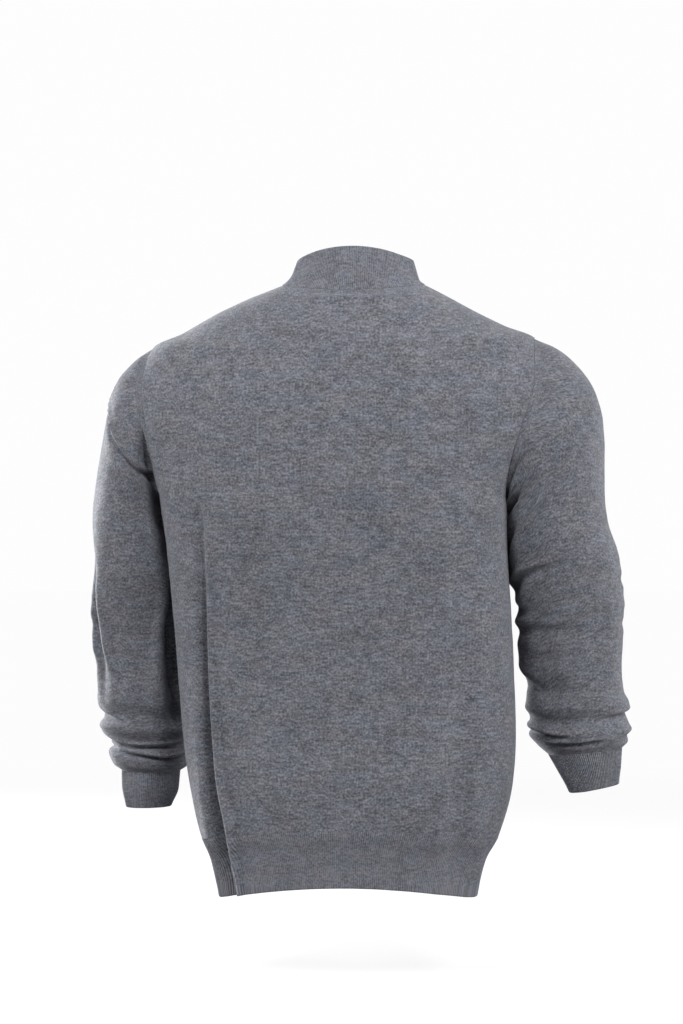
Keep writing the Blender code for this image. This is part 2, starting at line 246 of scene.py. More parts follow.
def panel_heights():
    """Side height and armhole share of every row of a panel."""
    neck = TORSO[0].side_z
    shoulder = [neck - step for step in SEAM_STRIP[:3]]
    shoulder += list(np.linspace(neck - SEAM_STRIP[3], SHOULDER_TIP_Z, SHOULDER_ROWS))
    turns = np.linspace(math.pi / 2, -math.pi / 2, ARMHOLE_ROWS + 1)[1:]
    armhole = [(ARMHOLE_MIDDLE + ARMHOLE_HALF * math.sin(turn), max(math.cos(turn), 0.0))
               for turn in turns]
    edge = RIB_SEAM_Z + SEAM_GAP / 2
    lower = list(np.linspace(UNDERARM_Z, edge + SEAM_STRIP[3], LOWER_ROWS)[1:])
    lower += [edge + step for step in SEAM_STRIP[2::-1]]
    return [(z, 0.0) for z in shoulder] + armhole + [(z, 0.0) for z in lower]


def rib_heights():
    """The same for a hem rib, which has no armhole."""
    edge = RIB_SEAM_Z - SEAM_GAP / 2
    places = [edge - step for step in SEAM_STRIP[:3]]
    places += list(np.linspace(edge - SEAM_STRIP[3], HEM_Z, BAND_ROWS))
    return [(z, 0.0) for z in places]


print("rows in a panel:", len(panel_heights()))

# %% Laying the points of a panel
# z, x: the line of the deep pleat down the left of the back, where the columns crowd
PLEAT_PATH = ((-0.235, 0.165), (-0.300, 0.162), (-0.410, 0.159), (-0.525, 0.152),
              (-0.600, 0.140), (-0.650, 0.132), (-0.690, 0.125))
PLEAT_CROWD = 4.0           # how much closer together they are there
PLEAT_REACH = 0.045         # how far from the line, as a share of the row
PLEAT_LIMIT = 0.9           # the furthest out they may crowd, as a share of the row's reach
BACK_COLUMNS = 176
FRONT_COLUMNS = 150
SHOULDER_CLIMB = 1.5        # cloth for each bit of height above the middle of the neck seam
# heights at which the way up the cloth is measured, from below the hem to above the neck
LEVELS = np.linspace(HEM_Z - 0.02, TORSO[0].side_z + 0.01, 400)


def row_points(z, facing, armhole, columns, pleat_crowd):
    """One row of a panel or a hem rib, from the wearer's right seam to the left one."""
    curve = half_curve(z, facing, armhole)
    along = distances(curve)
    start, end = SEAM_GAP / 2, along[-1] - SEAM_GAP / 2
    strip = np.array(SEAM_STRIP)
    inner = (start + strip[-1], end - strip[-1])
    pleat_z, pleat_x = np.array(PLEAT_PATH).T
    pleat = min(ease_through(-pleat_z, pleat_x, -z)[0], PLEAT_LIMIT * curve[:, 0].max())
    focus = (np.interp(pleat, curve[:, 0], along) - inner[0]) / (inner[1] - inner[0])
    shares = crowded(columns, focus, PLEAT_REACH, pleat_crowd)
    middle = inner[0] + shares * (inner[1] - inner[0])
    places = np.concatenate([start + strip[:-1], middle, end - strip[-2::-1]])
    return np.column_stack([np.interp(places, along, curve[:, axis]) for axis in range(3)])


def places_across(points):
    """How far each point lies from the middle of its row, along the cloth."""
    across = np.empty(points.shape[:2])
    for index, row in enumerate(points):
        along = distances(row, (0, 1))
        across[index] = along - np.interp(0.0, row[:, 0], along)
    return across


def torso_sheet(heights, facing, columns, pleat_crowd=0.0):
    """A panel or a hem rib as a grid of points, with each one's place on the flat cloth."""
    points = np.array([row_points(z, facing, share, columns, pleat_crowd) for z, share in heights])
    loops = [torso_loop(level) for level in LEVELS]
    reach = [loop.back_y if facing > 0 else loop.front_y for loop in loops]
    height = [loop.back_z if facing > 0 else loop.front_z for loop in loops]
    climb = distances(np.column_stack([reach, height]), (0, 1))
    above = np.maximum(points[..., 2] - height[-1], 0.0) * SHOULDER_CLIMB
    v = np.interp(points[..., 2], np.maximum.accumulate(height), climb) + above
    return Sheet(points, places_across(points), v)


back_sheet = torso_sheet(panel_heights(), 1, BACK_COLUMNS, PLEAT_CROWD)
front_sheet = torso_sheet(panel_heights(), -1, FRONT_COLUMNS)
print("back panel grid:", back_sheet.points.shape[:2], " front:", front_sheet.points.shape[:2])

# %% [markdown]
# ## The sleeves
# A set-in sleeve starts on the armhole's edge and turns down over the arm. Its table holds
# rings of cloth: the outermost and innermost point of each ring, and its middle and half
# depth from front to back. The bulges low down are the spare length that has slid onto the
# cuff and sits there in rolls.

# %% The sleeves' rings
# corner is how boxy a ring is behind, below its middle: 2 is round
Ring = namedtuple("Ring", "out_x out_z in_x in_z mid_y half_depth corner", defaults=(2.0,))
LEFT_SLEEVE = [Ring(*row) for row in (
    # out_x   out_z   in_x    in_z   mid_y   half_depth  corner
    (0.2530, -0.0825, 0.2243, -0.2405, -0.001, 0.0555),
    (0.2715, -0.1030, 0.2243, -0.2425, -0.002, 0.0590),
    (0.2820, -0.1275, 0.2243, -0.2450, -0.004, 0.0620, 2.2),
    (0.2880, -0.1600, 0.2238, -0.2490, -0.006, 0.0640, 2.4),
    (0.2945, -0.1960, 0.2226, -0.2560, -0.009, 0.0635, 2.7),
    (0.3000, -0.2300, 0.2196, -0.2700, -0.011, 0.0635, 3.2),
    (0.3050, -0.2700, 0.2152, -0.2930, -0.014, 0.0640, 3.6),
    (0.3050, -0.3150, 0.2093, -0.3250, -0.020, 0.0630, 3.4),
    (0.3080, -0.3570, 0.2030, -0.3600, -0.029, 0.0600, 2.5),
    (0.3085, -0.4035, 0.1995, -0.4040, -0.039, 0.0570),
    (0.3052, -0.4400, 0.1978, -0.4420, -0.045, 0.0555),
    (0.3050, -0.4720, 0.1948, -0.4740, -0.050, 0.0560),  # upper roll
    (0.2975, -0.4915, 0.2005, -0.4925, -0.053, 0.0505),
    (0.3035, -0.5020, 0.1965, -0.5050, -0.055, 0.0530),  # middle roll
    (0.2890, -0.5210, 0.2030, -0.5220, -0.057, 0.0460),
    (0.2935, -0.5320, 0.2000, -0.5330, -0.058, 0.0480),  # lower roll
    (0.2885, -0.5470, 0.2020, -0.5490, -0.060, 0.0450),
    (0.2785, -0.5545, 0.2110, -0.5555, -0.061, 0.0370),  # cuff seam
)]
LEFT_CUFF = [Ring(*row) for row in (
    (0.2780, -0.5750, 0.2132, -0.5760, -0.063, 0.0350),
    (0.2747, -0.5980, 0.2222, -0.5975, -0.066, 0.0300),
)]
RIGHT_SLEEVE = [Ring(*row) for row in (
    # out_x   out_z   in_x    in_z   mid_y   half_depth  corner
    (0.2285, -0.0720, 0.1722, -0.2405, -0.001, 0.0555, 2.4),
    (0.2544, -0.0948, 0.1716, -0.2425, -0.002, 0.0590, 2.5),
    (0.2700, -0.1190, 0.1714, -0.2450, -0.004, 0.0620, 2.5),
    (0.2792, -0.1513, 0.1714, -0.2490, -0.006, 0.0640, 2.5),
    (0.2812, -0.1880, 0.1722, -0.2560, -0.009, 0.0635, 2.7),
    (0.2810, -0.2300, 0.1728, -0.2700, -0.012, 0.0635, 3.2),
    (0.2845, -0.2640, 0.1724, -0.2880, -0.015, 0.0630, 3.4),
    (0.2978, -0.3080, 0.1745, -0.3180, -0.021, 0.0620, 3.2),
    (0.3027, -0.3560, 0.1800, -0.3560, -0.029, 0.0610, 2.6),
    (0.3016, -0.4010, 0.1815, -0.4010, -0.039, 0.0585),
    (0.3004, -0.4360, 0.1850, -0.4390, -0.045, 0.0570),
    (0.3027, -0.4600, 0.1930, -0.4590, -0.049, 0.0555),
    (0.3085, -0.4740, 0.1905, -0.4780, -0.051, 0.0575),  # upper roll
    (0.3060, -0.4900, 0.1950, -0.4930, -0.053, 0.0530),
    (0.3106, -0.5040, 0.1938, -0.5080, -0.055, 0.0550),  # lower roll
    (0.3060, -0.5180, 0.2040, -0.5220, -0.056, 0.0490),
    (0.3000, -0.5250, 0.2165, -0.5330, -0.057, 0.0420),  # cuff seam
)]
RIGHT_CUFF = [Ring(*row) for row in (
    (0.2991, -0.5450, 0.2279, -0.5530, -0.059, 0.0360),
    (0.2968, -0.5670, 0.2404, -0.5776, -0.062, 0.0300),
)]
print("rings in the left sleeve:", len(LEFT_SLEEVE))

# %% Points round a sleeve
# A turn of -90 degrees is the underarm line, 0 the middle of the back, 90 the outer line
# and 180 the middle of the front. The last column lies on the first, where the seam runs.


def ring_turns(columns):
    return np.linspace(-math.pi / 2, 1.5 * math.pi, columns + 1)


def armhole_edge(side, turns):
    """The armhole's edge on the wearer's left (side 1) or right (-1), at each turn."""
    edge = []
    for turn in turns:
        loop = torso_loop(ARMHOLE_MIDDLE + ARMHOLE_HALF * math.sin(turn))
        share = math.cos(turn)
        depth = ARMHOLE_BACK if share > 0 else ARMHOLE_FRONT
        scoop = ARMHOLE_SCOOP * max(-share, 0.0)
        reach = loop.left if side > 0 else loop.right
        behind = loop.side_y + share * depth
        edge.append((side * (reach - scoop), behind, loop.side_z - side * loop.tilt))
    return np.array(edge)


def ring_points(ring, side, turns):
    """A ring's points. Its quarter behind and below the middle is as boxy as its corner says."""
    rise, back = np.sin(turns), np.cos(turns)
    square = (np.abs(rise) ** ring.corner + np.abs(back) ** ring.corner) ** (-1 / ring.corner)
    square = np.where((rise < 0) & (back > 0), square, 1.0)[:, None]
    out = np.array([side * ring.out_x, ring.mid_y, ring.out_z])
    inner = np.array([side * ring.in_x, ring.mid_y, ring.in_z])
    depth = back[:, None] * np.array([0.0, ring.half_depth, 0.0])
    return (out + inner) / 2 + square * (rise[:, None] * (out - inner) / 2 + depth)


def passed(points, axis):
    """How far along its row (axis 1) or column (axis 0) each point of a grid is."""
    steps = np.linalg.norm(np.diff(points, axis=axis), axis=2)
    return np.insert(np.cumsum(steps, axis=axis), 0, 0.0, axis=axis)


def flat_tube(points):
    """A tube's points, with each one's place on the cloth once it is cut open and flat."""
    u, v = passed(points, 1), -passed(points, 0)
    return Sheet(points, u - u[:, -1:] / 2, v - v[-1])


def tube_sheet(key_rings, shares):
    """A tube read between its key rings, with each point's place on the flat cloth."""
    key_rings = np.array(key_rings)
    steps = np.linalg.norm(np.diff(key_rings, axis=0), axis=2).mean(axis=1)
    stations = np.concatenate([[0.0], np.cumsum(steps)])
    places = np.sort(np.concatenate([shares * stations[-1], np.array(SEAM_STRIP[1:3])]))
    return flat_tube(ease_through(stations, key_rings, places))


print("armhole, top to bottom:", round(2 * ARMHOLE_HALF, 3), "m")

# %% The sleeves, from the armhole down
SLEEVE_COLUMNS = 150
SLEEVE_ROWS = 240
CUFF_CROWD = (0.93, 0.10, 1.6)      # where down the sleeve its rows crowd, how widely, how much
SHOULDER_SLOPE = math.radians(26)
UNDERARM_SLOPE = math.radians(60)
HEAD_STRIP = 0.004                  # the sleeve's first strip beside the armhole seam
HEAD_CLOSING = 0.4                  # how fast that strip rounds towards the arm
CLOSING_FROM = 0.4                  # it does so from this far below its middle, for a radius of 1
DIVE_FROM = 0.1                     # and it may dive from this far above the middle
LEVEL_SHARES = (0.85, 0.5, 0.2)     # how level with the back the first rings stay
LEVEL_BLEND = 10                    # degrees over which that begins, on each side of a turn
LEVEL_OUT = 50                      # the turn in degrees where it has ended


def sleeve_sheet(rings, side, dive, level_to):
    """A sleeve, whose first rings stay level with the back above the turn level_to in degrees.

    dive is how fast its first strip turns in under the arm, below the middle of the back.
    """
    turns = ring_turns(SLEEVE_COLUMNS)
    rise = np.sin(turns)
    degrees = np.degrees(np.arctan2(rise, np.cos(turns)))
    level = smoothstep(level_to - LEVEL_BLEND, level_to + LEVEL_BLEND, degrees)
    level = level * (1 - smoothstep(0, LEVEL_OUT, degrees))
    slope = SHOULDER_SLOPE * np.clip(rise, 0, 1) + UNDERARM_SLOPE * np.clip(-rise, 0, 1)
    closing = HEAD_CLOSING * np.clip(rise + CLOSING_FROM, 0, 1)
    closing = closing + dive * np.clip(DIVE_FROM - rise, 0, 1)
    outwards = np.column_stack([side * np.cos(slope), -np.cos(turns) * closing, -np.sin(slope)])
    head = armhole_edge(side, turns) + outwards * SEAM_GAP
    strip = head + outwards * HEAD_STRIP
    tube = [ring_points(ring, side, turns) for ring in rings]
    for share, points in zip(LEVEL_SHARES, tube):
        points[:, 1] += share * level * (strip[:, 1] - points[:, 1])
    return tube_sheet([head, strip] + tube, crowded(SLEEVE_ROWS, *CUFF_CROWD))


left_sheet = sleeve_sheet(LEFT_SLEEVE, 1, dive=1.3, level_to=-5)
right_sheet = sleeve_sheet(RIGHT_SLEEVE, -1, dive=0.0, level_to=-82)
print("sleeve grids:", left_sheet.points.shape[:2], right_sheet.points.shape[:2])

# %% [markdown]
# ## The collar, the cuffs and the hem
# These are rib knit: columns of stitches that stand forward and columns that sit back, which
# lets the band stretch and spring back. At this fine gauge a rib is little more than two
# millimetres wide, so a few columns of points make each one, and the ridges are real relief.
# The count of ribs stays the same down a band, so they draw together where it narrows.

# %% The rib bands
RIB_PITCH = 0.0024
COLUMNS_PER_RIB = 4
COLLAR_ROWS = 24
ROUND_STEPS = 400           # points in the loop that a cuff is measured on
CollarLoop = namedtuple("CollarLoop", "left right side_z back_y back_z front_y front_z")
COLLAR = [CollarLoop(*row) for row in (
    # left    right   side_z  back_y  back_z  front_y  front_z
    (0.0775, 0.0725, 0.0065, 0.0625, 0.0020, -0.0660, -0.0310),
    (0.0725, 0.0700, 0.0130, 0.0605, 0.0130, -0.0645, -0.0200),
    (0.0690, 0.0675, 0.0220, 0.0580, 0.0280, -0.0615, -0.0020),
    (0.0660, 0.0650, 0.0300, 0.0555, 0.0424, -0.0585, 0.0165),   # rim
)]


def rib_columns(length):
    """Points across a band of that length, a whole number of ribs."""
    return COLUMNS_PER_RIB * round(length / RIB_PITCH)


def in_rib_steps(sheet):
    """The same sheet, with u counted in ribs so that the knit follows them."""
    steps = np.arange(sheet.points.shape[1]) * RIB_PITCH / COLUMNS_PER_RIB
    return sheet._replace(u=np.broadcast_to(steps, sheet.u.shape).copy())


def collar_sheet():
    """The neck seam's own loop, carried up through the collar's."""
    neck = TORSO[0]
    seam = np.vstack([half_curve(neck.side_z, 1, 0), half_curve(neck.side_z, -1, 0)[-2::-1]])
    along = distances(seam)
    places = np.linspace(0, along[-1], rib_columns(along[-1]) + 1)
    base = np.column_stack([np.interp(places, along, seam[:, axis]) for axis in range(3)])
    base[:, 2] += SEAM_GAP
    on_left = base[:, 0] > 0
    across = base[:, 0] / np.where(on_left, neck.left, neck.right)
    behind = base[:, 1] > 0
    reach = np.where(behind, base[:, 1] / neck.back_y, base[:, 1] / neck.front_y)
    keys = [base]
    for loop in COLLAR:
        x = across * np.where(on_left, loop.left, loop.right)
        y = reach * np.where(behind, loop.back_y, loop.front_y)
        middle_z = np.where(behind, loop.back_z, loop.front_z)
        z = loop.side_z + (middle_z - loop.side_z) * (1 - across ** 2)
        keys.append(np.column_stack([x, y, z]))
    return in_rib_steps(tube_sheet(keys, np.linspace(0, 1, COLLAR_ROWS + 1)))


def rib_sheet(facing):
    columns = rib_columns(distances(half_curve(RIB_SEAM_Z, facing, 0))[-1])
    return in_rib_steps(torso_sheet(rib_heights(), facing, columns - 2 * len(SEAM_STRIP) + 2))


def cuff_sheet(seam_ring, rings, side):
    round_seam = distances(ring_points(seam_ring, side, ring_turns(ROUND_STEPS)))[-1]
    turns = ring_turns(rib_columns(round_seam))
    seam = ring_points(seam_ring, side, turns) - np.array([0.0, 0.0, SEAM_GAP])
    keys = [seam] + [ring_points(ring, side, turns) for ring in rings]
    return in_rib_steps(tube_sheet(keys, np.linspace(0, 1, BAND_ROWS + 1)))


collar = collar_sheet()
back_rib, front_rib = rib_sheet(1), rib_sheet(-1)
left_cuff = cuff_sheet(LEFT_SLEEVE[-1], LEFT_CUFF, 1)
right_cuff = cuff_sheet(RIGHT_SLEEVE[-1], RIGHT_CUFF, -1)
print("ribs round the collar:", (collar.points.shape[1] - 1) // COLUMNS_PER_RIB)
print("ribs across the back hem:", back_rib.points.shape[1] // COLUMNS_PER_RIB)

# %% [markdown]
# ## Folds placed one by one
# Worn cloth isn't smooth: it tucks at the armpit, sinks where the body turns away from it
# and piles up above the cuff. Each fold is a path laid on the sheet, with its own depth and
# width at every point of the path, so that it starts shallow, deepens and dies out as a real
# one does. Across the path the cloth sinks in a trough and lifts a little beside it. A fold
# that leans has one steep, raised side: there the cloth laps over the trough, as a tuck does.
# A fold with a negative depth is a ridge.

# %% How a fold moves the cloth
Fold = namedtuple("Fold", "rows lean lap", defaults=(0.0, 0.0))
MM = 0.001
PATH_STEPS = 90
FOLD_REACH = 4                          # a fold moves nothing past this many widths of it
FOLD_LIFT = 0.28                        # how much the cloth beside it lifts, for its depth
LIFT_PLACE, LIFT_SPREAD = 1.9, 0.75     # where the cloth lifts and how widely, in widths
LAP_PLACE, LAP_SPREAD = 1.2, 0.6        # the same for the cloth that laps over the trough
LEAN_NARROWS, LEAN_LIFTS = 0.45, 1.4    # what a lean of 1 does to the raised side


def fold_path(rows, across_unit):
    """The fold's path and its depth and width along it, read finely, in metres."""
    table = np.array(rows) * (across_unit, MM, MM, MM)
    stations = distances(table[:, :2], (0, 1))
    return ease_through(stations, table, np.linspace(0, stations[-1], PATH_STEPS))


def fold_shift(places, fold, across_unit):
    """Each place's move out of the cloth, and its slide over it, from one fold."""
    path = fold_path(fold.rows, across_unit)
    ahead = np.gradient(path[:, :2], axis=0)
    ahead /= np.linalg.norm(ahead, axis=1)[:, None]
    sideways = np.column_stack([-ahead[:, 1], ahead[:, 0]])
    low, high = path[:, :2].min(axis=0), path[:, :2].max(axis=0)
    margin = FOLD_REACH * path[:, 3].max()
    near = np.all((places > low - margin) & (places < high + margin), axis=-1)
    out = np.zeros(places.shape[:-1])
    slide = np.zeros(places.shape)
    if not near.any():
        return out, slide
    spots = places[near]
    nearest = np.argmin(((spots[:, None, :] - path[None, :, :2]) ** 2).sum(axis=2), axis=1)
    step = np.linalg.norm(path[-1, :2] - path[0, :2]) / (PATH_STEPS - 1)
    station = nearest + ((spots - path[nearest, :2]) * ahead[nearest]).sum(axis=1) / step
    table = np.column_stack([path, ahead, sideways])
    table = np.column_stack([np.interp(station, np.arange(PATH_STEPS), row) for row in table.T])
    away = spots - table[:, :2]
    past_end = np.abs((away * table[:, 4:6]).sum(axis=1))
    beside = (away * table[:, 6:8]).sum(axis=1)
    depth, width = table[:, 2], table[:, 3]
    raised = fold.lean * np.sign(beside)
    width = width * (1 - LEAN_NARROWS * raised)
    reach = np.abs(beside) / width
    lift = FOLD_LIFT * np.clip(1 + LEAN_LIFTS * raised, 0, None)
    lift = lift * np.exp(-((reach - LIFT_PLACE) / LIFT_SPREAD) ** 2)
    fade = np.exp(-(past_end / width) ** 2)
    out[near] = depth * fade * (lift - np.exp(-reach ** 2))
    lapped = fold.lap * MM * np.clip(raised, 0, 1)
    lapped *= np.exp(-((reach - LAP_PLACE) / LAP_SPREAD) ** 2)
    lapped *= fade * np.clip(depth / max(path[:, 2].max(), MM), 0, 1)
    slide[near] = -(np.sign(beside) * lapped)[:, None] * table[:, 6:8]
    return out, slide


def outward_frame(points, facing, tube):
    """Unit directions of a grid of points: across it, up it, and out of the cloth."""
    if tube:
        padded = np.concatenate([points[:, -2:-1], points, points[:, 1:2]], axis=1)
        across = (padded[:, 2:] - padded[:, :-2]) / 2
    else:
        across = np.gradient(points, axis=1)
    up = -np.gradient(points, axis=0)
    out = facing * np.cross(up, across)
    lengths = [np.maximum(np.linalg.norm(step, axis=2), 1e-12) for step in (across, up, out)]
    return [step / length[..., None] for step, length in zip((across, up, out), lengths)]


print("steps along a fold's path:", PATH_STEPS)

# %% Laying folds, small waves and seams on a sheet
WAVES = ((0.034, 0.0006), (0.013, 0.00025))     # length and height of the cloth's own unevenness
SIDES = ("first", "last")                       # a panel's side seams, its first and last columns
SEAM_SINK = (0.0002, 0.0001, 0.0, 0.0)          # how far the points of SEAM_STRIP dip at a seam
NECK_SINK = 3.0                                 # the neck seam dips this much more
BODY_STILL, SLEEVE_STILL = 0.014, 0.006         # how far from a still edge the folds fade out
SLEEVE_RADIUS = 0.056
DEGREE_LONG = math.radians(SLEEVE_RADIUS)       # a degree of turn, as a length round a sleeve
ROUNDS = (-360, 0, 360)                         # a sleeve's fold may cross the underarm line


def edge_distance(points, edges):
    """How far each point is from the nearest of the named edges of its grid."""
    nearest = np.full(points.shape[:2], 1.0)
    down, side = passed(points, 0), passed(points, 1)
    spans = {"top": down, "first": side, "last": side[:, -1:] - side}
    for edge in edges:
        nearest = np.minimum(nearest, spans[edge])
    return nearest


def waves(points):
    lift = np.zeros(points.shape[:2])
    for length, height in WAVES:
        for row, column in np.ndindex(lift.shape):
            lift[row, column] += height * noise.noise(Vector(points[row, column]) / length)
    return lift


def fold_places(points, tube):
    """Where each point lies among the folds: across the body or round the sleeve, and up."""
    across = points[..., 0]
    if tube:
        turns = np.degrees(ring_turns(points.shape[1] - 1))
        across = np.broadcast_to(turns * DEGREE_LONG, across.shape)
    return np.stack([across, points[..., 2]], axis=2)


def fold_cloth(sheet, folds, facing, tube=False, still=(), still_reach=BODY_STILL, seams=()):
    """The sheet with its folds and small waves. It keeps still beside the edges that are named."""
    points = sheet.points
    across, up, out = outward_frame(points, facing, tube)
    places = fold_places(points, tube)
    rise = np.zeros(points.shape[:2])
    slide = np.zeros(places.shape)
    unit = DEGREE_LONG if tube else MM
    for fold in folds:
        for turn in ROUNDS if tube else (0,):
            moved, slid = fold_shift(places + np.array([turn * unit, 0.0]), fold, unit)
            rise += moved
            slide += slid
    hold = smoothstep(0.0, still_reach, edge_distance(points, still))
    rise = (rise + waves(points)) * hold
    slide *= hold[..., None]
    for edge in seams:
        sink = np.interp(edge_distance(points, (edge,)), SEAM_STRIP, SEAM_SINK)
        rise -= sink * (NECK_SINK if edge == "top" else 1.0)
    moved = points + rise[..., None] * out + slide[..., :1] * across + slide[..., 1:] * up
    return sheet._replace(points=moved)


print("a whole turn round a sleeve is laid as", round(360 * DEGREE_LONG, 3), "m")

# %% [markdown]
# ### Folds of the body
# The body hangs from the shoulder blades. Down the left of the back the cloth is too wide for
# the waist and laps over itself in one deep pleat, from the shoulder blade to the hem. On the
# right it only sinks in a long soft trough with a ridge beside it. Above the hem rib, which
# holds the cloth in, a few short dips run down to the band.

# %% Folds of the back
# rows: place across (x), height (z), depth and width, all in millimetres
BACK_FOLDS = [
    Fold([(168, -225, 0, 6), (164, -262, 2.5, 5.5), (163, -330, 6, 5), (162, -410, 9.5, 5.2),
          (158, -500, 14, 6.2), (152, -560, 18, 7), (143, -612, 19, 7.8), (137.5, -650, 16, 7.4),
          (130.5, -692, 12, 7)], lean=-0.5, lap=5),
    Fold([(-131, -225, 0, 14), (-129, -300, 2, 15), (-124, -400, 3.2, 16), (-123, -500, 3.4, 15),
          (-121, -560, 5, 12), (-117, -615, 4, 11), (-112, -680, 1.5, 10)], lean=0.3),
    Fold([(-150, -300, 0, 10), (-146, -400, -1.6, 11), (-145, -500, -2.4, 10),
          (-141, -580, -2.2, 9), (-136, -650, -1, 9)]),
    Fold([(88, -380, 0, 12), (88, -440, 1, 12), (87, -520, 1.4, 11), (83, -590, 1.6, 10),
          (78, -640, 0.4, 10)]),
    Fold([(10, -520, 0, 9), (7, -560, 1.2, 9), (7, -605, 1.5, 9), (6, -650, 0.3, 9)]),
    Fold([(-50, -520, 0, 9), (-47, -560, 1, 8), (-46, -605, 1.3, 8), (-44, -650, 0.3, 8)]),
    Fold([(45, -546, 0, 4), (15, -545, 0.8, 4), (-30, -541, 0.9, 4), (-75, -536, 0, 4)]),
    Fold([(62, -15.5, 0, 4), (30, -16.8, -2.4, 4), (-20, -16.8, -2.4, 4), (-62, -15.5, 0, 4)]),
    Fold([(220, -190, 0, 8), (190, -235, 1.2, 10), (160, -290, 0, 12)]),
    Fold([(-165, -190, 0, 8), (-150, -240, 1, 10), (-128, -300, 0, 12)]),
]

# %% Folds of the front
# The wearer's own front hangs the same way: drag lines from the armpits, soft troughs at the
# sides and short dips over the rib.
FRONT_FOLDS = [
    Fold([(-118, -250, 0, 15), (-122, -340, 2.6, 16), (-124, -440, 4.5, 14), (-120, -540, 6, 12),
          (-110, -620, 5, 11), (-102, -690, 2, 10)], lean=-0.4),
    Fold([(130, -280, 0, 16), (128, -380, 2.4, 16), (122, -480, 3.6, 14), (112, -580, 4.6, 12),
          (103, -640, 2.5, 10), (98, -685, 1, 10)], lean=0.3),
    Fold([(212, -175, 0, 8), (180, -225, 3, 10), (140, -275, 2, 12), (95, -320, 0, 14)]),
    Fold([(-160, -175, 0, 8), (-135, -220, 2.6, 10), (-100, -262, 1.6, 12), (-60, -290, 0, 14)]),
    Fold([(196, -240, 0, 8), (170, -300, 2, 10), (145, -350, 0, 12)]),
    Fold([(-20, -500, 0, 11), (-24, -560, 1.4, 10), (-26, -612, 1.8, 9), (-25, -655, 0.4, 9)]),
    Fold([(45, -510, 0, 10), (48, -565, 1.2, 9), (48, -612, 1.5, 9), (46, -650, 0.3, 9)]),
    Fold([(-70, -530, 0, 9), (-68, -575, 1.2, 9), (-66, -618, 1.4, 8), (-64, -648, 0.3, 8)]),
]
print("folds on the body:", len(BACK_FOLDS) + len(FRONT_FOLDS))

# %% [markdown]
# ### Folds of the sleeves
# The arms hang, so the cloth folds where the arm leaves the body, bends a little at the elbow
# and stacks up above the tight cuff. A fold's place is its turn round the sleeve, in degrees,
# and its height. Turns run from -90 at the underarm, over 0 behind, to 90 on the outer line,
# and 180 is the middle of the front.

